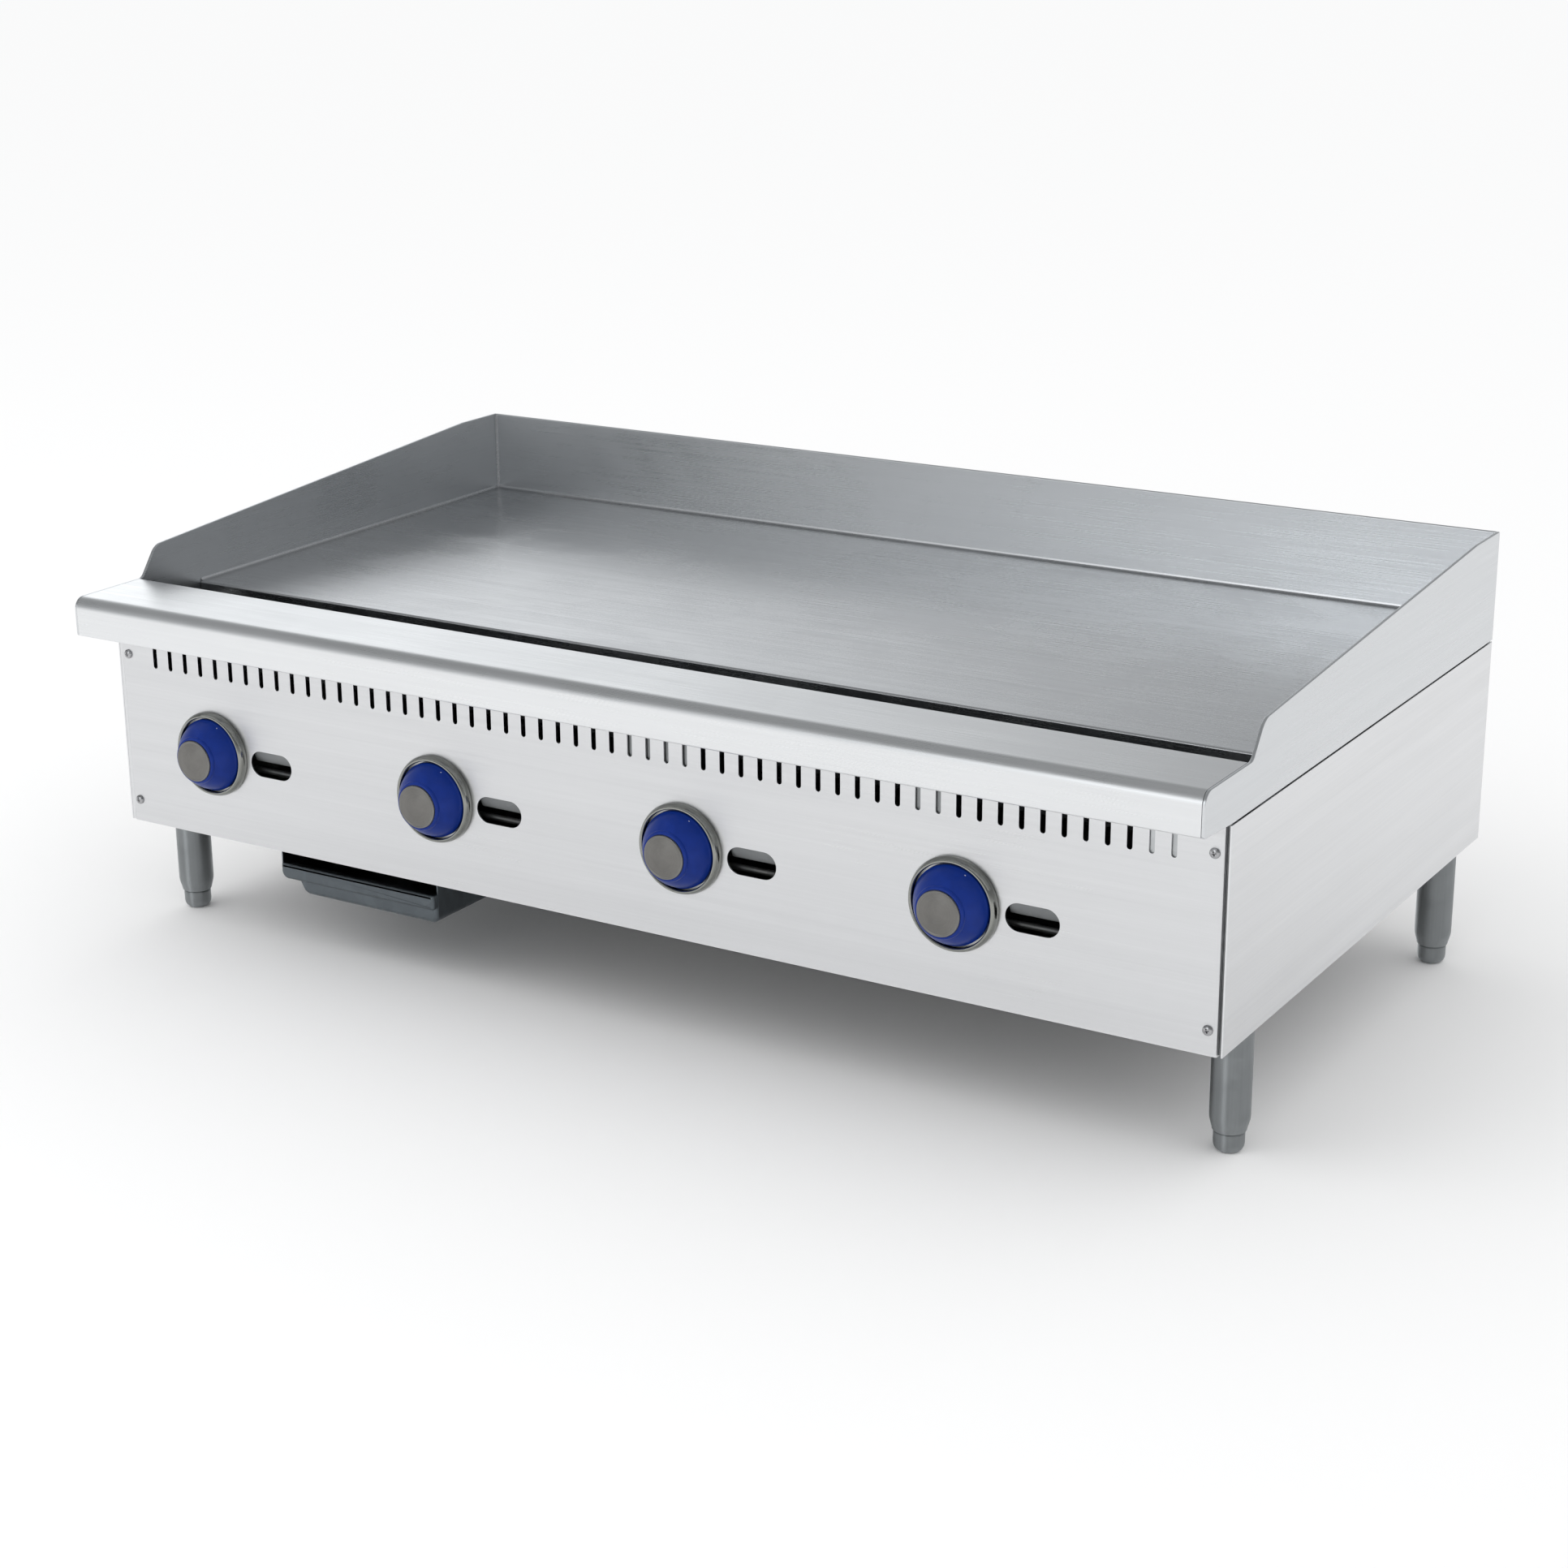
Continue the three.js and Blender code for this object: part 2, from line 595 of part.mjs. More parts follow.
// ---------------------------------------------------------------- assembly
addPlate();
addSplashGuards();
addNoseRail();
addTrough();
addChute();
addPanel();
addPanelScrews();
addSidePanel("left_side_panel", -1);
addSidePanel("right_side_panel", 1);
addRearPanel();
addBottomPanel();
addHeatShield();
addBurners();
addBurnerRail("burner_rail_front", -150);
addBurnerRail("burner_rail_rear", 290);
addSupplyPipes();
addValves();
addKnobs();
addTray();
addTrayRail("tray_rail_left", -1);
addTrayRail("tray_rail_right", 1);
addLegs();

export default griddle;
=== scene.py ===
"""Countertop gas griddle: steel plate, splash guards, four knobs, drip tray and four legs.

It stands on z = 0 with its front towards -Y and its right side towards +X.
Lengths are in millimetres, and MM turns them into the scene's metres.
The studio section at the end is in metres.
"""
import math

import bmesh
import bpy
from mathutils import Matrix, Vector
from mathutils.geometry import delaunay_2d_cdt


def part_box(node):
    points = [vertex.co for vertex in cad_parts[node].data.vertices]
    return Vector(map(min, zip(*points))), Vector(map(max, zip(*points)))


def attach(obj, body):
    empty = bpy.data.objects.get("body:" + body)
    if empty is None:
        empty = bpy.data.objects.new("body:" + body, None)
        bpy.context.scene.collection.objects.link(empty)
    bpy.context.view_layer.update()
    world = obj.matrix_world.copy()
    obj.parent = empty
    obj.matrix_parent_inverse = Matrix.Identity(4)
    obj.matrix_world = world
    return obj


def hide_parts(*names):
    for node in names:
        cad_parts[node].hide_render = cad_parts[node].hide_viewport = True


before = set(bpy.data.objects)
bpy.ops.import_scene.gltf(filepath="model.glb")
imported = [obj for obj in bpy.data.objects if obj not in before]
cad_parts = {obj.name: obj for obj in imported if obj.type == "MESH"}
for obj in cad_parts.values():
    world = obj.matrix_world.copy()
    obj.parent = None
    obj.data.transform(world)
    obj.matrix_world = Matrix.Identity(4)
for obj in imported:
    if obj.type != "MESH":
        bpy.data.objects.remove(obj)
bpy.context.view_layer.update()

MM = 0.001


# ------------------------------------------------------------------ sizes
def box_mm(part):
    """Low and high corners of a frame part."""
    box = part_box(part)
    return [[c * 1000 for c in box[i]] for i in (0, 1)]


def centre_mm(part, axis):
    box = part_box(part)
    return 1000 * (box[0][axis] + box[1][axis]) / 2


GRIDDLE = "griddle"                    # the body that the fixed pieces ride on
SIDES = ((1, "right"), (-1, "left"))   # sign of x, name
SHEET = 1.5                            # casing sheet thickness

low, high = box_mm("right_splash")
HALF_W = high[0]
Y_NOSE, Y_REAR, Z_GUARD, Z_TOP = low[1], high[1], low[2], high[2]
GUARD_T = high[0] - low[0]
GUARD_IN = HALF_W - GUARD_T            # inner face of a side guard
low, high = box_mm("griddle_plate")
PLATE_X, Y_PLATE, PLATE_Y1, PLATE_Z0, Z_PLATE = high[0], low[1], high[1], low[2], high[2]
low, high = box_mm("front_nose_rail")
RAIL_X, Y_TROUGH, Z_NOSE0, Z_NOSE = high[0], high[1], low[2], high[2]
low, high = box_mm("front_panel")
PANEL_X, Y_PANEL, Z_BODY, PANEL_TOP = high[0], low[1], low[2], high[2]
PANEL_BACK = Y_PANEL + SHEET
Z_SIDE = box_mm("right_side_panel")[1][2]

KNOB_X = [centre_mm(f"bezel_{i}", 0) for i in (1, 2, 3, 4)]
KNOB_Z = centre_mm("bezel_1", 2)

# gas train: the manifold runs along x, the inlet leaves through the back
PIPE_Y, PIPE_Z, PIPE_R = -268.0, 204.0, 13.35
INLET_X = 545


# ------------------------------------------------------------------ 2-D outlines
def arc(cx, cy, radius, start, end, steps):
    """Points from one angle to another, in degrees."""
    angles = [math.radians(start + (end - start) * i / steps) for i in range(steps + 1)]
    return [(cx + radius * math.cos(a), cy + radius * math.sin(a)) for a in angles]


def circle(cx, cy, radius, count):
    return arc(cx, cy, radius, 0, 360 - 360 / count, count - 1)


def obround(cx, cy, width, height, steps):
    if width >= height:
        radius, shift_x = height / 2, width / 2 - height / 2
        return (arc(cx + shift_x, cy, radius, -90, 90, steps)
                + arc(cx - shift_x, cy, radius, 90, 270, steps))
    radius, shift_y = width / 2, height / 2 - width / 2
    return (arc(cx, cy + shift_y, radius, 0, 180, steps)
            + arc(cx, cy - shift_y, radius, 180, 360, steps))


def fillet(corners, steps=8):
    """(x, y, radius) corners of a closed outline, turned into a smooth outline."""
    outline = []
    for i, (x, y, radius) in enumerate(corners):
        if radius <= 0:
            outline.append((x, y))
            continue
        corner = Vector((x, y))
        before = Vector(corners[i - 1][:2]) - corner
        after = Vector(corners[(i + 1) % len(corners)][:2]) - corner
        back, ahead = before.normalized(), after.normalized()
        half = math.acos(max(-1, min(1, back.dot(ahead)))) / 2
        reach = min(radius / math.tan(half), 0.49 * before.length, 0.49 * after.length)
        radius = reach * math.tan(half)
        centre = corner + (back + ahead).normalized() * (radius / math.sin(half))
        first, last = corner + back * reach - centre, corner + ahead * reach - centre
        start, end = math.atan2(first.y, first.x), math.atan2(last.y, last.x)
        if end - start > math.pi:
            end -= 2 * math.pi
        if start - end > math.pi:
            end += 2 * math.pi
        for k in range(steps + 1):
            angle = start + (end - start) * k / steps
            outline.append((centre.x + radius * math.cos(angle),
                            centre.y + radius * math.sin(angle)))
    return outline


def rounded_rect(cx, cy, half_x, half_y, radius):
    signs = ((-1, -1), (1, -1), (1, 1), (-1, 1))
    return fillet([(cx + i * half_x, cy + j * half_y, radius) for i, j in signs], 6)


def unit_left(start, end):
    """Unit normal to the left of a segment."""
    length = math.dist(start, end)
    return -(end[1] - start[1]) / length, (end[0] - start[0]) / length


def sheet(line, thickness):
    """An open line thickened to its left into a bent sheet's section."""
    line = [p for i, p in enumerate(line) if i == 0 or math.dist(p, line[i - 1]) > 1e-6]
    offset = []
    for i, point in enumerate(line):
        before = unit_left(line[i - 1], point) if i else unit_left(line[0], line[1])
        after = unit_left(point, line[i + 1]) if i < len(line) - 1 else before
        mx, my = before[0] + after[0], before[1] + after[1]
        mitre = 2 / (mx * mx + my * my)
        offset.append((point[0] + mx * mitre * thickness, point[1] + my * mitre * thickness))
    return line + offset[::-1]


def inset(outline, distance):
    """A closed anticlockwise outline moved inwards."""
    moved = []
    for i, point in enumerate(outline):
        before = unit_left(outline[i - 1], point)
        after = unit_left(point, outline[(i + 1) % len(outline)])
        mx, my = before[0] + after[0], before[1] + after[1]
        mitre = min(2 / (mx * mx + my * my), 1.6)
        moved.append((point[0] + mx * mitre * distance, point[1] + my * mitre * distance))
    return moved


# ------------------------------------------------------------------ solids: (verts, faces)
# how an outline point lies when it is swept along an axis
ON_AXIS = {
    "x": lambda p, along: (along, p[0], p[1]),
    "y": lambda p, along: (p[0], along, p[1]),
    "z": lambda p, along: (p[0], p[1], along),
}


def band(first, second):
    """Quads between two closed loops of vertex numbers."""
    count = len(first)
    return [[first[i], first[(i + 1) % count], second[(i + 1) % count], second[i]]
            for i in range(count)]


def prism(outline, start, end, axis):
    """A closed outline swept along an axis: two caps, then one side for each point."""
    count = len(outline)
    verts = [ON_AXIS[axis](p, along) for along in (start, end) for p in outline]
    near, far = list(range(count)), list(range(count, 2 * count))
    return verts, [near, far[::-1]] + band(near, far)


def pressed(outline, front, back, radius, steps=6):
    """An (x, z) outline swept from a rounded front to a flat back."""
    points = [p for i, p in enumerate(outline) if math.dist(p, outline[i - 1]) > 0.02]
    area = sum(points[i - 1][0] * points[i][1] - points[i][0] * points[i - 1][1]
               for i in range(len(points)))
    points = points if area > 0 else points[::-1]
    loops = [(points, back)]
    for k in range(steps + 1):
        angle = math.radians(90 * k / steps)
        loops.append((inset(points, radius * (1 - math.cos(angle))),
                      front + radius * (1 - math.sin(angle))))
    verts = [(x, y, z) for loop, y in loops for x, z in loop]
    count = len(points)
    rings = [list(range(k * count, (k + 1) * count)) for k in range(len(loops))]
    faces = [quad for pair in zip(rings, rings[1:]) for quad in band(*pair)]
    return verts, faces + [rings[0][::-1], rings[-1]]


def lathe(profile, count=64, axis="z"):
    """A turned solid from (radius, distance along the axis) points.

    The profile runs from the axis to the axis, or closes on itself.
    With axis y the distance is towards the front, -Y.
    """
    verts, faces, rings = [], [], []
    for radius, along in profile:
        points = [(0.0, 0.0)]
        if radius >= 1e-6:
            angles = [2 * math.pi * k / count for k in range(count)]
            points = [(radius * math.cos(a), radius * math.sin(a)) for a in angles]
        rings.append(list(range(len(verts), len(verts) + len(points))))
        verts += [ON_AXIS[axis](p, -along if axis == "y" else along) for p in points]
    closed = len(rings[0]) > 1
    for first, second in zip(rings, rings[1:] + ([rings[0]] if closed else [])):
        for k in range(count):
            after = (k + 1) % count
            if len(first) == 1:
                faces.append([first[0], second[k], second[after]])
            elif len(second) == 1:
                faces.append([first[k], first[after], second[0]])
            else:
                faces.append([first[k], first[after], second[after], second[k]])
    return verts, faces


def shift(part, dx=0, dy=0, dz=0):
    return [(x + dx, y + dy, z + dz) for x, y, z in part[0]], part[1]


def rod(path, radius, count):
    """A solid round rod along a level path."""
    points = [Vector(p) for p in path]
    across = (points[1] - points[0]).normalized().cross(Vector((0, 0, 1))).normalized()
    verts, faces, rings = [], [], []
    for i, point in enumerate(points):
        ahead = (points[min(i + 1, len(points) - 1)] - points[max(i - 1, 0)]).normalized()
        across = (across - ahead * across.dot(ahead)).normalized()
        other = ahead.cross(across)
        rings.append(list(range(i * count, (i + 1) * count)))
        for k in range(count):
            angle = 2 * math.pi * k / count
            spoke = across * math.cos(angle) + other * math.sin(angle)
            verts.append(tuple(point + spoke * radius))
    for pair in zip(rings, rings[1:]):
        faces += band(*pair)
    return verts, faces + [rings[0][::-1], rings[-1]]


# ------------------------------------------------------------------ plates with holes
def round_hole(cx, cy, radius, count=24):
    """A hole is a function of its growth, giving its outline."""
    return lambda grow: circle(cx, cy, radius + grow, count)


def obround_hole(cx, cy, width, height, steps):
    return lambda grow: obround(cx, cy, width + 2 * grow, height + 2 * grow, steps)


def inside(point, outline):
    x, y = point
    result = False
    for i in range(len(outline)):
        (xa, ya), (xb, yb) = outline[i], outline[i - 1]
        if (ya > y) != (yb > y) and x < (xb - xa) * (y - ya) / (yb - ya) + xa:
            result = not result
    return result


def fill(outer, holes):
    """Triangles of a flat outline with holes, as numbers into outer + holes."""
    points, edges = [], []
    for loop in [outer] + holes:
        start, count = len(points), len(loop)
        points += [Vector(p) for p in loop]
        edges += [(start + i, start + (i + 1) % count) for i in range(count)]
    verts, _, faces, origins, _, _ = delaunay_2d_cdt(points, edges, [], 0, 1e-5)
    extents = []
    for hole in holes:
        xs, ys = zip(*hole)
        extents.append((min(xs), max(xs), min(ys), max(ys), hole))
    triangles = []
    for face in faces:
        x, y = [sum(verts[i][k] for i in face) / len(face) for k in (0, 1)]
        if not inside((x, y), outer):
            continue
        if any(x0 < x < x1 and y0 < y < y1 and inside((x, y), hole)
               for x0, x1, y0, y1, hole in extents):
            continue
        triangles.append([origins[i][0] for i in face])
    return triangles


def holed(outer, holes, near, far, axis="y", lip=0.35, walls=True):
    """A plate with holes, whose edges on the near face are eased by lip."""
    toward = 1 if far > near else -1
    verts, faces = [], []

    def add(points, along):
        start = len(verts)
        verts.extend(ON_AXIS[axis](p, along) for p in points)
        return list(range(start, len(verts)))

    def add_face(along, grow):
        cuts = [hole(grow) for hole in holes]
        loops = [add(loop, along) for loop in [outer] + cuts]
        numbers = [i for loop in loops for i in loop]
        return loops, [[numbers[i] for i in triangle] for triangle in fill(outer, cuts)]

    near_loops, triangles = add_face(near, lip)
    faces += triangles
    far_loops, triangles = add_face(far, 0)
    faces += [triangle[::-1] for triangle in triangles]
    if walls:
        faces += band(near_loops[0], far_loops[0])
    for hole, near_loop, far_loop in zip(holes, near_loops[1:], far_loops[1:]):
        middle = add(hole(lip * 0.3), near + toward * lip * 0.3)
        straight = add(hole(0.0), near + toward * lip)
        faces += band(near_loop, middle) + band(middle, straight) + band(straight, far_loop)
    return verts, faces


# ------------------------------------------------------------------ meshes and pieces
def to_mesh(name, verts, faces):
    bm = bmesh.new()
    made = [bm.verts.new(Vector(v) * MM) for v in verts]
    for face in faces:
        if len(set(face)) > 2:
            try:
                bm.faces.new([made[i] for i in face])
            except ValueError:
                pass  # guards against a face that is given twice
    bmesh.ops.remove_doubles(bm, verts=bm.verts, dist=1e-4 * MM)
    bmesh.ops.recalc_face_normals(bm, faces=bm.faces)
    mesh = bpy.data.meshes.new(name)
    bm.to_mesh(mesh)
    bm.free()
    return mesh


def link_object(name, data):
    obj = bpy.data.objects.new(name, data)
    bpy.context.scene.collection.objects.link(obj)
    return obj


def subtract(mesh, cutters):
    """Cuts closed solids from a mesh."""
    work = link_object("work", mesh)
    made = []
    for cutter in cutters:
        made.append(link_object("cutter", to_mesh("cut", *cutter)))
        cut = work.modifiers.new("cut", "BOOLEAN")
        cut.operation, cut.solver, cut.object = "DIFFERENCE", "EXACT", made[-1]
    bpy.context.view_layer.update()
    depsgraph = bpy.context.evaluated_depsgraph_get()
    result = bpy.data.meshes.new_from_object(work.evaluated_get(depsgraph))
    for obj in made + [work]:
        bpy.data.objects.remove(obj)
    return result


def mesh_piece(name, mesh, material, slot, replaces=None, body=GRIDDLE, at=(0, 0, 0),
               bevel=0.0, segments=3, bevel_angle=35, sharp=32):
    """Makes an object of a mesh; the angles are in degrees."""
    obj = link_object(name, mesh)
    obj.location = Vector(at) * MM
    mesh.materials.append(MATERIALS[material])
    for polygon in mesh.polygons:
        polygon.use_smooth = True
    mesh.set_sharp_from_angle(angle=math.radians(sharp))
    if bevel:
        edge = obj.modifiers.new("edge", "BEVEL")
        edge.width, edge.segments = bevel * MM, segments
        edge.limit_method, edge.angle_limit = "ANGLE", math.radians(bevel_angle)
        edge.harden_normals = False
        edge.use_clamp_overlap = True
        for mesh_edge in mesh.edges:
            mesh_edge.use_edge_sharp = False
    normals = obj.modifiers.new("normals", "WEIGHTED_NORMAL")
    normals.weight, normals.keep_sharp = 100, True
    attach(obj, body)
    if replaces:
        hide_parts(replaces)


def piece(name, parts, material, slot, **options):
    """Makes an object of one solid or a list of solids."""
    if isinstance(parts, tuple):
        parts = [parts]
    verts, faces = [], []
    for part_verts, part_faces in parts:
        start = len(verts)
        verts += part_verts
        faces += [[i + start for i in face] for face in part_faces]
    mesh_piece(name, to_mesh(name, verts, faces), material, slot, **options)


# ------------------------------------------------------------------ shader nodes
class Nodes:
    """Short calls that build the node tree of a material or a world."""

    def __init__(self, owner):
        owner.use_nodes = True
        self.tree = owner.node_tree
        self.tree.nodes.clear()

    def node(self, kind, **props):
        made = self.tree.nodes.new(kind)
        for name, value in props.items():
            setattr(made, name, value)
        return made

    def link(self, source, target):
        self.tree.links.new(source, target)

    def put(self, socket, value):
        if hasattr(value, "is_output"):
            self.link(value, socket)
        else:
            socket.default_value = value

    def math(self, operation, *values, clamp=False):
        made = self.node("ShaderNodeMath", operation=operation, use_clamp=clamp)
        if len(values) == 1:
            values += (0.0,)
        for socket, value in zip(made.inputs, values):
            self.put(socket, value)
        return made.outputs[0]

    def add(self, a, b, clamp=False):
        return self.math("ADD", a, b, clamp=clamp)

    def mul(self, a, b):
        return self.math("MULTIPLY", a, b)

    def span(self, value, over=(0.3, 0.7), to=(0.0, 1.0), **props):
        """Maps one range onto another and clamps it."""
        made = self.node("ShaderNodeMapRange", clamp=True, **props)
        for socket, setting in zip(made.inputs, (value, *over, *to)):
            self.put(socket, setting)
        return made.outputs[0]

    def mix(self, factor, first, second):
        made = self.node("ShaderNodeMix", data_type="RGBA")
        for i, value in ((0, factor), (6, first), (7, second)):
            self.put(made.inputs[i], value)
        return made.outputs[2]


class Surface(Nodes):
    """A Principled material under construction."""

    def __init__(self, name):
        self.material = bpy.data.materials.new(name)
        super().__init__(self.material)
        output = self.node("ShaderNodeOutputMaterial")
        self.principled = self.node("ShaderNodeBsdfPrincipled")
        self.link(self.principled.outputs[0], output.inputs[0])
        self.coord = self.node("ShaderNodeTexCoord").outputs["Object"]
        self.normal = self.node("ShaderNodeNewGeometry").outputs["Normal"]

    def set(self, **values):
        for name, value in values.items():
            self.put(self.principled.inputs[name.replace("_", " ")], value)

    def vec(self, operation, a, b=(0, 0, 0), out=0):
        made = self.node("ShaderNodeVectorMath", operation=operation)
        self.put(made.inputs[0], a)
        self.put(made.inputs[1], b)
        return made.outputs[out]

    def scaled(self, scale, offset=(0, 0, 0), source=None, turn=0.0):
        """Coordinates in cells per metre: one number or one for each axis."""
        made = self.node("ShaderNodeMapping")
        self.link(source or self.coord, made.inputs["Vector"])
        made.inputs["Scale"].default_value = scale if isinstance(scale, tuple) else (scale,) * 3
        made.inputs["Location"].default_value = offset
        made.inputs["Rotation"].default_value = (0, 0, turn)
        return made.outputs[0]

    def noise(self, scale, detail=3.0, rough=0.5, distortion=0.0, **mapping):
        made = self.node("ShaderNodeTexNoise")
        self.link(self.scaled(scale, **mapping), made.inputs["Vector"])
        made.inputs["Scale"].default_value = 1.0
        made.inputs["Detail"].default_value = detail
        made.inputs["Roughness"].default_value = rough
        made.inputs["Distortion"].default_value = distortion
        return made.outputs[0]

    def cloud(self, scale, detail=4, rough=0.6, **options):
        """Soft blotches."""
        return self.noise(scale, detail, rough, **options)

    def shaded(self, base, shade):
        """A base colour scaled by a shade."""
        result = self.vec("SCALE", base)
        self.put(result.node.inputs["Scale"], shade)
        return result

    def edges(self, radius):
        """1 on worn outer edges; radius in metres."""
        bevel = self.node("ShaderNodeBevel", samples=4)
        bevel.inputs["Radius"].default_value = radius
        facing = self.vec("DOT_PRODUCT", bevel.outputs[0], self.normal, out=1)
        return self.span(self.math("SUBTRACT", 1.0, facing), over=(0.004, 0.12))

    def bump(self, height, strength, distance, under=None):
        """Relief; distance in metres, under is a normal it builds on."""
        made = self.node("ShaderNodeBump")
        self.put(made.inputs["Height"], height)
        made.inputs["Strength"].default_value = strength
        made.inputs["Distance"].default_value = distance
        if under is not None:
            self.link(under, made.inputs["Normal"])
        return made.outputs[0]


def brighter(base, gain, lift=0.0):
    return (*[min(1.0, b * gain + lift) for b in base], 1.0)


# ------------------------------------------------------------------ materials
def brushed(name, base, rough, axis, aniso, grain, streak, relief, smudge=0.05):
    """Brushed sheet: fine grain along one axis, long streaks, smudges, bright edges."""
    mat = Surface(name)

    def lines(along, across, **options):
        scale = tuple(along if i == axis else across for i in range(3))
        return mat.noise(scale, **options)

    fine = lines(along=9, across=1100, rough=0.65)
    coarse = lines(along=3.0, across=308, detail=4, rough=0.6, offset=(3.1, 7.7, 1.3))
    streaks = lines(along=0.9, across=55, rough=0.55, offset=(1.7, 2.9, 5.1))
    cloud = mat.cloud(5, offset=(11, 4, 8), distortion=0.4)
    shade = mat.add(mat.span(coarse, over=(0.25, 0.75), to=(1 - grain, 1 + grain)),
                    mat.span(streaks, to=(-streak, streak)))
    shade = mat.mul(shade, mat.span(cloud, to=(1 - smudge * 0.6, 1.0 + smudge * 0.2)))
    colour = mat.shaded(base, shade)
    edge = mat.edges(radius=0.0012)
    patches = mat.span(mat.noise(60, rough=0.6), over=(0.35, 0.65), to=(0.25, 0.5))
    wear = mat.mul(edge, patches)
    rough = mat.add(rough, mat.span(fine, to=(-0.05, 0.06)))
    rough = mat.add(rough, mat.span(cloud, over=(0.35, 0.7), to=(-0.02, smudge)))
    direction = tuple(int(i == axis) for i in range(3))
    height = mat.add(fine, mat.mul(coarse, 0.8))
    waves = mat.bump(cloud, strength=0.05, distance=0.002)
    mat.set(Base_Color=mat.mix(wear, colour, brighter(base, gain=1.25)),
            Roughness=mat.math("SUBTRACT", rough, mat.mul(wear, 0.08), clamp=True),
            Metallic=1.0, Anisotropic=aniso,
            Tangent=mat.vec("CROSS_PRODUCT", mat.normal, direction),
            Normal=mat.bump(height, strength=relief, distance=0.0004, under=waves))
    return mat.material


def dull(name, base, rough, spangle, edge=0.4, warm=0.0):
    """Galvanised or mill-finish sheet: soft crystals, stains, bright cut edges."""
    mat = Surface(name)
    voronoi = mat.node("ShaderNodeTexVoronoi", feature="F1")
    mat.link(mat.scaled(110), voronoi.inputs["Vector"])
    voronoi.inputs["Scale"].default_value = 1.0
    crystal = mat.node("ShaderNodeSeparateColor")
    mat.link(voronoi.outputs["Color"], crystal.inputs[0])
    cloud = mat.cloud(9, detail=5, offset=(2, 5, 1), distortion=0.6)
    fine = mat.noise(700, detail=2, rough=0.6)
    shade = mat.mul(mat.span(crystal.outputs[0], over=(0, 1), to=(1 - spangle, 1 + spangle)),
                    mat.span(cloud, over=(0.3, 0.72), to=(0.92, 1.05)))
    stain = (base[0] * 0.9, base[1] * 0.7, base[2] * 0.5, 1.0)
    colour = mat.mix(mat.mul(mat.span(cloud, over=(0.52, 0.75)), warm),
                     mat.shaded(base, shade), stain)
    wear = mat.mul(mat.edges(radius=0.001), edge)
    rough = mat.add(rough, mat.span(crystal.outputs[1], over=(0, 1), to=(-0.06, 0.06)))
    height = mat.add(fine, mat.mul(cloud, 1.5))
    mat.set(Base_Color=mat.mix(wear, colour, brighter(base, gain=1.9, lift=0.1)),
            Roughness=mat.add(rough, mat.span(cloud, to=(-0.04, 0.08)), clamp=True),
            Metallic=1.0,
            Normal=mat.bump(height, strength=0.10, distance=0.0004))
    return mat.material


def chrome(name, base, rough, smudge=0.05, speck=0.03):
    """Bright metal with faint smudges and specks."""
    mat = Surface(name)
    cloud = mat.cloud(60, distortion=0.5)
    fine = mat.noise(900, detail=2)
    colour = mat.shaded(base, mat.span(cloud, over=(0.35, 0.7), to=(0.93, 1.03)))
    wear = mat.mul(mat.edges(radius=0.0008), 0.4)
    smudges = mat.span(cloud, over=(0.4, 0.7), to=(-0.02, smudge))
    mat.set(Base_Color=mat.mix(wear, colour, brighter(base, gain=1.3)),
            Roughness=mat.add(rough, smudges, clamp=True), Metallic=1.0,
            Normal=mat.bump(mat.add(fine, cloud), strength=speck, distance=0.0003))
    return mat.material


def tube_steel(name, base, rough):
    """Ground leg tube, with reflections stretched along it."""
    mat = Surface(name)
    grain = mat.noise((520, 520, 6), rough=0.6)
    rings = mat.noise((12, 12, 420), detail=2, offset=(4, 1, 2))
    cloud = mat.cloud(35, distortion=0.5)
    shade = mat.mul(mat.span(grain, to=(0.95, 1.04)),
                    mat.span(cloud, over=(0.35, 0.7), to=(0.93, 1.03)))
    wear = mat.mul(mat.edges(radius=0.001), 0.4)
    smudges = mat.span(cloud, over=(0.4, 0.7), to=(-0.03, 0.07))
    up = mat.node("ShaderNodeCombineXYZ")
    up.inputs[2].default_value = 1.0
    height = mat.add(grain, mat.mul(rings, 0.5))
    mat.set(Base_Color=mat.mix(wear, mat.shaded(base, shade), brighter(base, gain=1.3)),
            Roughness=mat.add(rough, smudges, clamp=True), Metallic=1.0,
            Anisotropic=1.0, Tangent=up.outputs[0],
            Normal=mat.bump(height, strength=0.03, distance=0.0003))
    return mat.material


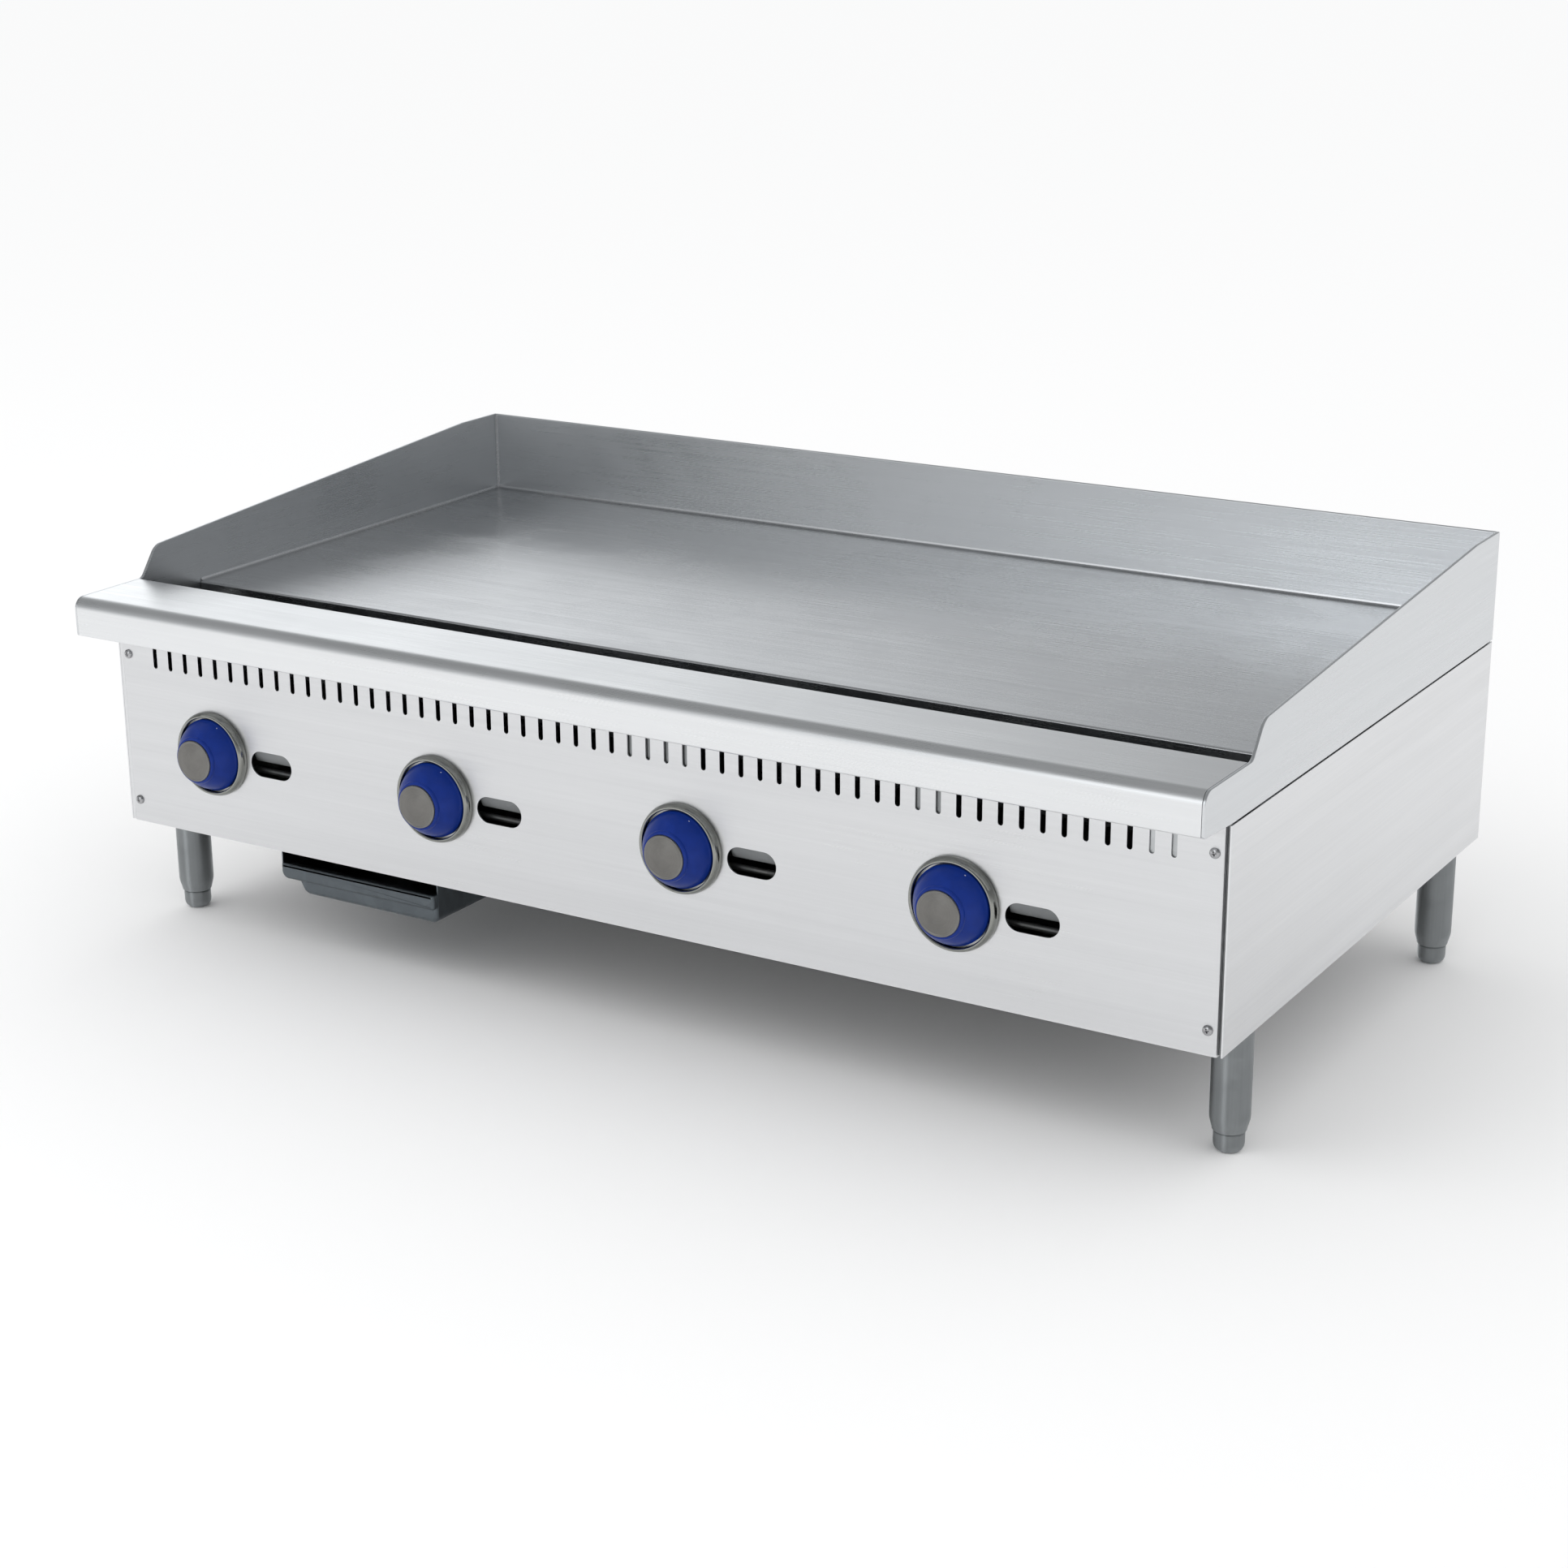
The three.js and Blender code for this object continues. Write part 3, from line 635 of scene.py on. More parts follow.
def plate_steel(name, worn):
    """Ground plate under thin oil: long grind marks, cloudy patches, slanting scratches."""
    mat = Surface(name)
    fine = mat.noise((7, 650, 650), rough=0.65)
    coarse = mat.noise((2.2, 120, 120), detail=4, rough=0.6, offset=(4, 9, 2))
    sweep = mat.noise((1.3, 3.2, 3.2), rough=0.55, offset=(6, 2, 9), distortion=0.6)
    oil = mat.noise((7, 9, 9), detail=5, rough=0.62, offset=(1, 3, 5), distortion=0.8)
    slanting = mat.noise((5, 420, 1), detail=2.0, turn=math.radians(14))
    scratch = mat.span(slanting, over=(0.66, 0.74))
    shade = mat.mul(mat.span(coarse, over=(0.25, 0.75), to=(0.94, 1.05)),
                    mat.span(sweep, to=(0.9, 1.07)))
    shade = mat.mul(shade, mat.span(oil, over=(0.35, 0.7), to=(1.02, 0.93)))
    colour = mat.mix(mat.mul(scratch, 0.10), mat.shaded((0.59, 0.60, 0.615), shade),
                     (0.7, 0.7, 0.7, 1.0))
    wear = mat.mul(mat.edges(radius=0.0016), worn)
    rough = mat.add(0.25, mat.span(fine, to=(-0.03, 0.04)))
    rough = mat.add(rough, mat.span(oil, over=(0.35, 0.7), to=(0.04, -0.05)))
    height = mat.add(fine, mat.mul(coarse, 0.6))
    waves = mat.bump(sweep, strength=0.05, distance=0.01)
    mat.set(Base_Color=mat.mix(wear, colour, (0.72, 0.72, 0.72, 1.0)),
            Roughness=mat.add(rough, mat.span(sweep, to=(-0.03, 0.04)), clamp=True),
            Metallic=1.0, Anisotropic=0.35,
            Tangent=mat.vec("CROSS_PRODUCT", mat.normal, (1, 0, 0)),
            Normal=mat.bump(height, strength=0.035, distance=0.0004, under=waves))
    return mat.material


def spun(name, base):
    """Satin disc turned on a lathe: rings round the piece's own Y axis."""
    mat = Surface(name)
    place = mat.node("ShaderNodeSeparateXYZ")
    mat.link(mat.coord, place.inputs[0])
    spoke = mat.node("ShaderNodeCombineXYZ")
    mat.link(place.outputs[0], spoke.inputs[0])
    mat.link(place.outputs[2], spoke.inputs[2])
    radial = mat.node("ShaderNodeCombineXYZ")
    mat.link(mat.vec("LENGTH", spoke.outputs[0], out=1), radial.inputs[0])
    rings = mat.noise((1600, 1, 1), rough=0.7, source=radial.outputs[0])
    wide = mat.noise((260, 1, 1), detail=2, source=radial.outputs[0], offset=(3, 0, 0))
    cloud = mat.cloud(70, distortion=0.5)
    shade = mat.mul(mat.span(rings, to=(0.9, 1.08)), mat.span(cloud, to=(0.86, 1.06)))
    wear = mat.mul(mat.edges(radius=0.0009), 0.75)
    height = mat.add(rings, mat.mul(wide, 0.6))
    mat.set(Base_Color=mat.mix(wear, mat.shaded(base, shade), (0.72, 0.75, 0.76, 1.0)),
            Roughness=mat.add(0.34, mat.span(cloud, to=(-0.04, 0.08))), Metallic=1.0,
            Anisotropic=0.5, Tangent=spoke.outputs[0],
            Normal=mat.bump(height, strength=0.12, distance=0.0003))
    return mat.material


def plastic(name, base, rough, coat, specular=0.5):
    """Moulded plastic: fine orange peel, slight mottling, lighter rubbed edges."""
    mat = Surface(name)
    peel = mat.noise(900, detail=2)
    cloud = mat.cloud(60, distortion=0.3)
    colour = mat.shaded(base, mat.span(cloud, to=(0.86, 1.12)))
    wear = mat.mul(mat.edges(radius=0.0012), 0.35)
    height = mat.add(peel, mat.mul(cloud, 0.4))
    mat.set(Base_Color=mat.mix(wear, colour, brighter(base, gain=1.5, lift=0.02)),
            Roughness=mat.add(rough, mat.span(cloud, to=(-0.05, 0.08)), clamp=True),
            Specular_IOR_Level=specular, Coat_Weight=coat, Coat_Roughness=0.18,
            Normal=mat.bump(height, strength=0.09, distance=0.0003))
    return mat.material


def iron(name, base, rough, metal, rust=0.0, relief=0.25):
    """Cast or scaled iron with a grainy skin."""
    mat = Surface(name)
    fine = mat.noise(420, detail=4, rough=0.65)
    cloud = mat.cloud(28, detail=5, distortion=0.8)
    colour = mat.mix(mat.mul(mat.span(cloud, over=(0.5, 0.72)), rust),
                     mat.shaded(base, mat.span(fine, to=(0.75, 1.25))),
                     (0.16, 0.07, 0.035, 1.0))
    wear = mat.mul(mat.edges(radius=0.001), 0.4)
    mat.set(Base_Color=mat.mix(wear, colour, brighter(base, gain=2, lift=0.05)),
            Roughness=mat.add(rough, mat.span(fine, to=(-0.08, 0.08)), clamp=True),
            Metallic=metal,
            Normal=mat.bump(mat.add(fine, cloud), strength=relief, distance=0.0006))
    return mat.material


CASING = dict(aniso=0.5, streak=0.02, relief=0.03)
GUARD = dict(rough=0.29, aniso=0.4, grain=0.014, streak=0.012, relief=0.014)
MATERIALS = {
    "panel": brushed("steel_panel", (0.71, 0.715, 0.725), rough=0.33, axis=0, grain=0.025,
                     **CASING),
    "side": brushed("steel_side", (0.755, 0.76, 0.77), rough=0.36, axis=1, grain=0.02,
                    **CASING),
    "guard": brushed("steel_guard_side", (0.66, 0.675, 0.69), axis=1, **GUARD),
    "back": brushed("steel_guard_back", (0.70, 0.715, 0.73), axis=0, **GUARD),
    "nose": brushed("steel_nose", (0.78, 0.79, 0.80), rough=0.30, axis=0, aniso=0.4,
                    grain=0.016, streak=0.016, smudge=0.04, relief=0.016),
    "plate": plate_steel("cooking_plate", worn=0.6),
    "bead": plate_steel("plate_weld", worn=0.05),
    "leg": tube_steel("leg_tube", (0.40, 0.42, 0.43), rough=0.46),
    "blue": plastic("knob_blue", (0.003, 0.025, 0.215), rough=0.32, coat=0.03, specular=0.2),
    "cap": spun("knob_disc", (0.20, 0.195, 0.185)),
    "bezel": chrome("bezel_chrome", (0.30, 0.305, 0.285), rough=0.12),
    "screw": chrome("screw_steel", (0.42, 0.42, 0.43), rough=0.22, smudge=0.1, speck=0.08),
    # drip tray: dark base colour, partly the tray's own dull steel and partly painted shade for
    # the shadow under the body
    "tray": dull("tray_steel_with_painted_shade", (0.125, 0.142, 0.155), rough=0.34, spangle=0.06, edge=0.45),
    "sheet": dull("inner_sheet", (0.52, 0.535, 0.545), rough=0.40, spangle=0.07),
    "hood": dull("hood_sheet", (0.27, 0.28, 0.285), rough=0.38, spangle=0.04),
    "inner": dull("inner_dark_sheet", (0.25, 0.255, 0.26), rough=0.5, spangle=0.12, warm=0.4),
    "trough": dull("trough_sheet", (0.17, 0.18, 0.19), rough=0.42, spangle=0.05),
    "burner": iron("burner_iron", (0.09, 0.088, 0.085), rough=0.62, metal=0.6, rust=0.6),
    "pipe": iron("black_pipe", (0.035, 0.036, 0.038), rough=0.48, metal=0.3, relief=0.15),
    "brass": chrome("valve_brass", (0.72, 0.52, 0.21), rough=0.28, smudge=0.12, speck=0.1),
    "alu": chrome("pilot_tube", (0.66, 0.67, 0.68), rough=0.3, smudge=0.1),
    # white dot on each knob: a painted highlight of the rim, not a real index mark
    "dot": plastic("painted_highlight_white", (0.72, 0.74, 0.80), rough=0.3, coat=0.4),
}


# ------------------------------------------------------------------ cooking top
def cooking_top():
    """The plate, and the bead where it meets the guards."""
    section = fillet([(Y_PLATE, PLATE_Z0, 1.5), (PLATE_Y1, PLATE_Z0, 0),
                      (PLATE_Y1, Z_PLATE, 0), (Y_PLATE, Z_PLATE, 2.2)], 6)
    piece("cooking_plate", prism(section, -PLATE_X, PLATE_X, "x"), "plate", "cooking_plate",
          replaces="griddle_plate")

    # (distance from the guard, height) of the bead's hollow section
    bead = [(0.0, 0.0), (3.2, 0.0), (1.5, 0.45), (0.75, 0.95), (0.35, 1.7), (0.0, 3.4)]
    foot = Z_PLATE - 0.05
    bead_x, bead_y = GUARD_IN - 0.05, PLATE_Y1 + 0.35
    parts = [prism([(bead_y - out, foot + up) for out, up in bead], -bead_x, bead_x, "x")]
    for side in (-1, 1):
        section = [(side * (bead_x - out), foot + up) for out, up in bead]
        parts.append(prism(section, Y_PLATE + 1.5, bead_y, "y"))
    piece("plate_weld_bead", parts, "bead", "cooking_plate")


def splash_guards():
    inner_y = Y_REAR - GUARD_T
    back = fillet([(inner_y, Z_GUARD, 0.5), (Y_REAR, Z_GUARD, 0.5),
                   (Y_REAR, Z_TOP, 1.3), (inner_y, Z_TOP, 1.3)], 6)
    piece("splash_back", prism(back, -GUARD_IN + 0.1, GUARD_IN - 0.1, "x"), "back",
          "splash_guard", replaces="back_splash")

    # (y, z, corner radius) of a side guard: low nose, short steep rise, long slope
    side_outline = fillet([
        (Y_REAR, Z_GUARD, 0.8), (Y_PANEL, Z_GUARD, 0), (Y_NOSE, Z_NOSE0, 3.0),
        (Y_NOSE, Z_NOSE, 12.0), (-268.0, Z_NOSE, 9.0), (-245.5, 392.8, 20.0),
        (271.0, Z_TOP, 30.0), (Y_REAR, Z_TOP, 2.0)], 10)
    for side, hand in SIDES:
        piece(f"splash_{hand}", prism(side_outline, side * GUARD_IN, side * HALF_W, "x"),
              "guard", "splash_guard", replaces=f"{hand}_splash", bevel=0.7)

    # ground seams up the two back corners
    for side, hand in SIDES:
        x = side * GUARD_IN
        seam = [(x, inner_y), (x - side * 2.6, inner_y), (x - side * 1.1, inner_y - 0.5),
                (x - side * 0.5, inner_y - 1.1), (x, inner_y - 2.6)]
        piece(f"corner_weld_{hand}", prism(seam, Z_PLATE + 0.5, Z_TOP - 1.4, "z"), "bead",
              "splash_guard")


def nose_rail():
    """Bullnose sheet along the front: down the back, over the top and under the nose."""
    line = ([(Y_TROUGH, Z_NOSE - 24)]
            + arc(Y_TROUGH - 2.5, Z_NOSE - 2.5, 2.5, 0, 90, 6)
            + arc(Y_NOSE + 12, Z_NOSE - 12, 12, 90, 180, 20)
            + arc(Y_NOSE + 2, Z_NOSE0 + 2, 2, 180, 270, 6)
            + [(Y_PANEL - 0.6, Z_NOSE0)])
    piece("nose_rail", prism(sheet(line, SHEET), -RAIL_X - 0.3, RAIL_X + 0.3, "x"), "nose",
          "nose_rail", replaces="front_nose_rail")


def grease_trough():
    """Channel between rail and plate, with a chute under its left end."""
    half_x = box_mm("grease_trough")[1][0]
    front, back, bottom = Y_TROUGH + 2, Y_PLATE + 8, 281.0
    bend = 4
    chute = (-323.0, -226.0)  # x, y of the chute's middle
    line = ([(front, Z_NOSE - 13)]
            + arc(front + bend, bottom + bend, bend, 180, 270, 8)
            + arc(back - bend, bottom + bend, bend, 270, 360, 8)
            + [(back, PLATE_Z0 - 0.4)])
    pan = to_mesh("trough", *prism(sheet(line, SHEET), -half_x, half_x, "x"))
    cutter = prism(rounded_rect(*chute, 26, 18, 5), bottom - 12, bottom + 12, "z")
    mesh_piece("grease_trough_pan", subtract(pan, [cutter]), "trough", "galvanised",
               replaces="grease_trough")

    end = [(front + 0.3, Z_NOSE - 14), (front + 0.3, bottom + 0.3),
           (back - 0.3, bottom + 0.3), (back - 0.3, PLATE_Z0 - 3),
           (front + 30, PLATE_Z0 - 3), (front + 20, Z_NOSE - 14)]
    piece("trough_ends", [prism(end, s * half_x, s * (half_x - SHEET), "x") for s in (-1, 1)],
          "trough", "galvanised", bevel=0.3, segments=2)

    def bore(grow):
        return rounded_rect(*chute, 28.5 + grow, 20.5 + grow, 4)

    top = bottom - 0.4
    spout = holed(rounded_rect(*chute, 30, 22, 5), [bore],
                  box_mm("grease_chute")[0][2], top, "z")
    flange = holed(rounded_rect(*chute, 38, 30, 5), [bore], top - 1.5, top, "z", lip=0.2)
    piece("chute", [spout, flange], "trough", "galvanised", replaces="grease_chute")


cooking_top()
splash_guards()
nose_rail()
grease_trough()

# ------------------------------------------------------------------ control panel
SLOTS, SLOT_PITCH, SLOT_W, SLOT_Z0, SLOT_Z1 = 57, 20.0, 5.0, 282.5, 312.0
SIGHT_DX, SIGHT_Z, SIGHT_W, SIGHT_H = 75.0, 202.5, 52.0, 26.0  # DX is from the knob
SCREWS = [(x, z) for x in (-596.0, 596.0) for z in (137.0, 293.0)]


def sight_hoods():
    """A slanting tab behind each sight hole."""
    top = SIGHT_Z + SIGHT_H / 2
    # (y, z) down the tab
    tab = sheet([(PANEL_BACK + 0.02, top + 3.0), (PANEL_BACK + 0.7, top + 0.8),
                 (PANEL_BACK + 5.6, top - 11.2), (PANEL_BACK + 6.3, top - 12.0)], -0.9)
    for i, x in enumerate(KNOB_X):
        middle = x + SIGHT_DX
        piece(f"sight_hood_{i + 1}", prism(tab, middle - 24, middle + 24, "x"), "hood",
              "brushed_casing", bevel=0.2, segments=2)


def control_panel():
    """Perforated face, returns bent back at both ends, and a flange along the bottom."""
    bend = 1.6
    face_x = PANEL_X - bend
    right = arc(face_x, Y_PANEL + bend, bend, -90, 0, 8) + [
        (PANEL_X, Y_PANEL + 12.6), (PANEL_X - 0.4, Y_PANEL + 13),
        (PANEL_X - SHEET, Y_PANEL + 13), (PANEL_X - SHEET, Y_PANEL + bend + 0.15),
        (face_x, PANEL_BACK)]
    section = right + [(-x, y) for x, y in right[::-1]]
    verts, faces = prism(section, Z_BODY, PANEL_TOP, "z")
    # the face plate takes the place of the two long sides, which come after the two caps
    long_sides = (2 + len(right) - 1, 2 + len(section) - 1)
    returns = verts, [face for k, face in enumerate(faces) if k not in long_sides]

    slot_z, slot_h = (SLOT_Z0 + SLOT_Z1) / 2, SLOT_Z1 - SLOT_Z0
    holes = [obround_hole((i - (SLOTS - 1) / 2) * SLOT_PITCH, slot_z, SLOT_W, slot_h, 8)
             for i in range(SLOTS)]
    for x in KNOB_X:
        holes += [round_hole(x, KNOB_Z, 6),
                  obround_hole(x + SIGHT_DX, SIGHT_Z, SIGHT_W, SIGHT_H, 20)]
    holes += [round_hole(x, z, 2.6, 16) for x, z in SCREWS]
    outer = [(-face_x, Z_BODY), (face_x, Z_BODY), (face_x, PANEL_TOP), (-face_x, PANEL_TOP)]
    face = holed(outer, holes, Y_PANEL, PANEL_BACK, lip=0.4, walls=False)

    flange_z = Z_BODY + 0.02
    flange = sheet([(Y_PANEL + 1.2, flange_z), (Y_PANEL + 20, flange_z)], SHEET - 0.1)
    piece("control_panel", [returns, face, prism(flange, -HALF_W + 54, HALF_W - 54, "x")],
          "panel", "brushed_casing", replaces="front_panel", sharp=25)


def corner_returns():
    """Strips that stand in the gaps between the panel and the side sheets."""
    # name, side, front and back from the panel's face, corner radius, material
    for hand, side, front, back, radius, material in (
            ("left", -1, 0.9, 6, 0.4, "side"), ("right", 1, 5.2, 9, 0.3, "inner")):
        outer_x, inner_x = side * (HALF_W - 1.55), side * (PANEL_X + 0.1)
        section = fillet([(outer_x, Y_PANEL + front, 0), (inner_x, Y_PANEL + front, radius),
                          (inner_x, Y_PANEL + back, 0), (outer_x, Y_PANEL + back, 0)], 4)
        piece(f"corner_return_{hand}", prism(section, Z_BODY + 0.3, Z_SIDE - 0.3, "z"),
              material, "brushed_casing")


def panel_stiffeners():
    """Three channels behind the slots, open to the back."""
    wall = 1.2
    # left x, right x, gap behind the panel, material
    for k, (x0, x1, gap, material) in enumerate((
            (8, 92, 1.3, "hood"), (306, 354, 1.0, "hood"), (529, 571, 0.6, "sheet"))):
        front = PANEL_BACK + gap
        back = front + 12
        channel = fillet([
            (x0, front, 0.5), (x1, front, 0.5), (x1, back, 0), (x1 - wall, back, 0),
            (x1 - wall, front + wall, 0), (x0 + wall, front + wall, 0),
            (x0 + wall, back, 0), (x0, back, 0)], 3)
        piece(f"panel_stiffener_{k + 1}", prism(channel, 279, 317, "z"), material,
              "galvanised")


def pan_head(radius, height, depth=9.0):
    """Pan-head screw facing -Y, with a cross recess."""
    rim = height * 0.28
    profile = [(0, -depth), (radius * 0.42, -depth), (radius * 0.42, 0.15), (radius, 0.15),
               (radius, rim)]
    for degrees in (12, 24, 36, 48, 60, 72, 82):
        angle = math.radians(degrees)
        profile.append((radius * math.cos(angle) * 0.995,
                        rim + height * 0.72 * math.sin(angle)))
    profile.append((0, height))
    half_w, half_l = radius * 0.16, radius * 0.60

    def wedge(turn):
        cos, sin = math.cos(turn), math.sin(turn)
        verts = []
        for y, spread in ((-height * 0.35, 0.25), (-height - 0.5, 1.0)):
            arm, side = half_l * spread, half_w * (0.6 + 0.4 * spread)
            for a, b in ((-arm, -side), (arm, -side), (arm, side), (-arm, side)):
                verts.append((a * cos - b * sin, y, a * sin + b * cos))
        return verts, [[0, 1, 2, 3], [7, 6, 5, 4], [0, 4, 5, 1],
                       [1, 5, 6, 2], [2, 6, 7, 3], [3, 7, 4, 0]]

    return subtract(to_mesh("pan_head", *lathe(profile, 40, "y")),
                    [wedge(0.3), wedge(0.3 + math.pi / 2)])


sight_hoods()
control_panel()
corner_returns()
panel_stiffeners()
head = pan_head(radius=4.7, height=2.9)
for i, (x, z) in enumerate(SCREWS):
    mesh_piece(f"screw_{i + 1}", head.copy(), "screw", "leg_steel",
               replaces=f"panel_screw_{i + 1}", at=(x, Y_PANEL, z), sharp=40)


# ------------------------------------------------------------------ casing
def casing_sides():
    """Side sheets with bent edges, each with a strip of floor over the legs."""
    front = Y_PANEL + 15       # front face of the inner flange
    rear = Y_REAR - 3.6        # rear face of the rear flange
    # (distance in from the side, y)
    outline = [
        (0, Y_PANEL + 0.6), (0, Y_REAR - 1.2), (0.35, Y_REAR - 0.35), (1.2, Y_REAR),
        (1.5, Y_REAR), (1.5, rear), (20, rear), (20, rear - SHEET), (SHEET, rear - SHEET),
        (SHEET, front + SHEET), (20, front + SHEET), (20, front), (SHEET, front),
        (SHEET, Y_PANEL + 0.6)]
    floor_outline = [(52, front + 0.5), (1.0, front + 0.5), (1.0, Y_REAR - 4),
                     (52, Y_REAR - 4)]
    for side, hand in SIDES:
        section, base = [[(side * (HALF_W - inward), y) for inward, y in points]
                         for points in (outline, floor_outline)]
        leg_holes = [round_hole(side * 591, y, 6.5, 20) for y in (-239, 270)]
        strip = holed(base, leg_holes, Z_BODY + 0.02, Z_BODY + SHEET, "z", lip=0.2)
        piece(f"casing_{hand}", [prism(section, Z_BODY, Z_SIDE, "z"), strip], "side",
              "brushed_casing", replaces=f"{hand}_side_panel",
              bevel=0.35, segments=2, bevel_angle=50)


def casing_rear():
    """Back sheet with ten level slots near the top, the inlet hole, and its screws."""
    half_x, bottom = HALF_W - 2, Z_BODY + 2
    holes = [obround_hole((i - 4.5) * 110, 301, 84, 12, 12) for i in range(10)]
    holes.append(round_hole(INLET_X, PIPE_Z, 16, 40))
    outer = [(-half_x, bottom), (half_x, bottom), (half_x, Z_SIDE), (-half_x, Z_SIDE)]
    piece("casing_rear", holed(outer, holes, Y_REAR, Y_REAR - SHEET), "sheet", "galvanised",
          replaces="rear_panel")

    rear_head = pan_head(radius=4.0, height=2.2, depth=5)
    rear_head.transform(Matrix.Rotation(math.pi, 4, "Z"))
    low_z, high_z = Z_BODY + 12, Z_SIDE - 36
    places = []
    for x in (-590, -395, -200, 0, 200, 395, 590):
        places.append((x, low_z))
        if abs(x) > 580:
            places.append((x, high_z))
    for k, (x, z) in enumerate(places):
        mesh_piece(f"rear_screw_{k + 1}", rear_head.copy(), "screw", "leg_steel",
                   at=(x, Y_REAR, z), sharp=40)


casing_sides()
casing_rear()


# ------------------------------------------------------------------ burners and gas train
def burners():
    """A tube with a flared front end and a thin collar, behind each knob."""
    # (radius, distance to the front): outside to the flare, then back down the bore
    profile = [
        (0, -300), (13, -300), (17, -298.5), (19, -295), (19, 120), (18.7, 132),
        (17.6, 145), (15.6, 160), (14.2, 172), (14, 182), (14.3, 192), (16, 202),
        (19.5, 214), (23, 224), (23.4, 230), (22.6, 232.4), (21.2, 231.4), (20.6, 224),
        (17.5, 213), (14, 200), (12.6, 190), (12.5, 150), (0, 150)]
    collar = [(13.6, 178.2), (31.5, 178.2), (32.0, 178.6), (32.0, 179.4), (31.5, 179.8),
              (13.6, 179.8)]
    z = 230.0
    for i, x in enumerate(KNOB_X):
        piece(f"burner_tube_{i + 1}", shift(lathe(profile, 48, "y"), x, 0, z), "burner",
              "burner_iron", replaces=f"burner_{i + 1}")
        piece(f"burner_collar_{i + 1}", shift(lathe(collar, 48, "y"), x, 0, z), "inner",
              "galvanised")


def repaint_frame_parts():
    """Frame parts that stay as they are and only take a material."""
    groups = {
        "inner": ["burner_rail_front", "burner_rail_rear", "heat_shield", "bottom_panel",
                  "tray_rail_left", "tray_rail_right"],
        "brass": [f"{part}_{i}" for part in ("gas_valve", "valve_stem") for i in (1, 2, 3, 4)],
        "alu": [f"pilot_tube_{i}" for i in (1, 2, 3, 4)],
    }
    for material, parts in groups.items():
        for part in parts:
            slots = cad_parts[part].data.materials
            slots.clear()
            slots.append(MATERIALS[material])


def gas_train():
    pipe = [(0, -570), (10.5, -570), (12.6, -569), (PIPE_R, -567), (PIPE_R, 521.6),
            (0, 521.6)]
    end_cap = [(0, -588), (9, -588), (10.5, -586.5), (10.5, -578), (15.5, -577),
               (17, -575), (17, -556), (15.5, -554), (PIPE_R + 0.05, -553.5),
               (PIPE_R + 0.05, -570), (0, -570)]
    parts = [shift(lathe(profile, count, "x"), 0, PIPE_Y, PIPE_Z)
             for profile, count in ((pipe, 40), (end_cap, 8))]
    piece("manifold_pipe", parts, "pipe", "black_pipe", replaces="gas_manifold", sharp=35)

    # elbow from the manifold to the inlet, with a collar at each end
    turn = 24
    path = [(x, y, PIPE_Z)
            for x, y in arc(INLET_X - turn, PIPE_Y + turn, turn, -90, 0, 14)]
    manifold_collar = [(0, 521.8), (19, 521.8), (20.2, 523), (20.2, 530), (19, 531.5),
                       (17, 532), (0, 532)]
    inlet_collar = [(0, 235), (17, 235), (19, 235.6), (20.2, 237), (20.2, 244.5),
                    (19, 246), (0, 246)]
    elbow = [rod(path, 17.2, 32),
             shift(lathe(manifold_collar, 40, "x"), 0, PIPE_Y, PIPE_Z),
             shift(lathe(inlet_collar, 40, "y"), INLET_X, 0, PIPE_Z)]
    piece("inlet_elbow", elbow, "pipe", "black_pipe", sharp=35)

    # inlet pipe with a threaded, open rear end
    threads, thread_pitch = 12, 1.9
    inlet = [(0, 262), (PIPE_R, 262), (PIPE_R, -339)]
    for k in range(threads):
        crest = -340.0 - thread_pitch * k
        inlet += [(PIPE_R, crest), (PIPE_R - 0.75, crest - thread_pitch / 2)]
    inlet += [(PIPE_R - 0.6, -362.2), (PIPE_R - 1.3, -363), (10.2, -363), (10, -362.6),
              (10, -322), (0, -322)]
    piece("inlet_pipe", shift(lathe(inlet, 48, "y"), INLET_X, 0, PIPE_Z), "pipe",
          "black_pipe", replaces="gas_inlet_pipe", sharp=35)

    rail = [(0, -566), (2.2, -566), (3.0, -565.2), (3.0, 536.2), (2.2, 537), (0, 537)]
    piece("pilot_rail", shift(lathe(rail, 24, "x"), 0, -290, 189.6), "inner", "galvanised",
          sharp=35)


burners()
repaint_frame_parts()
gas_train()


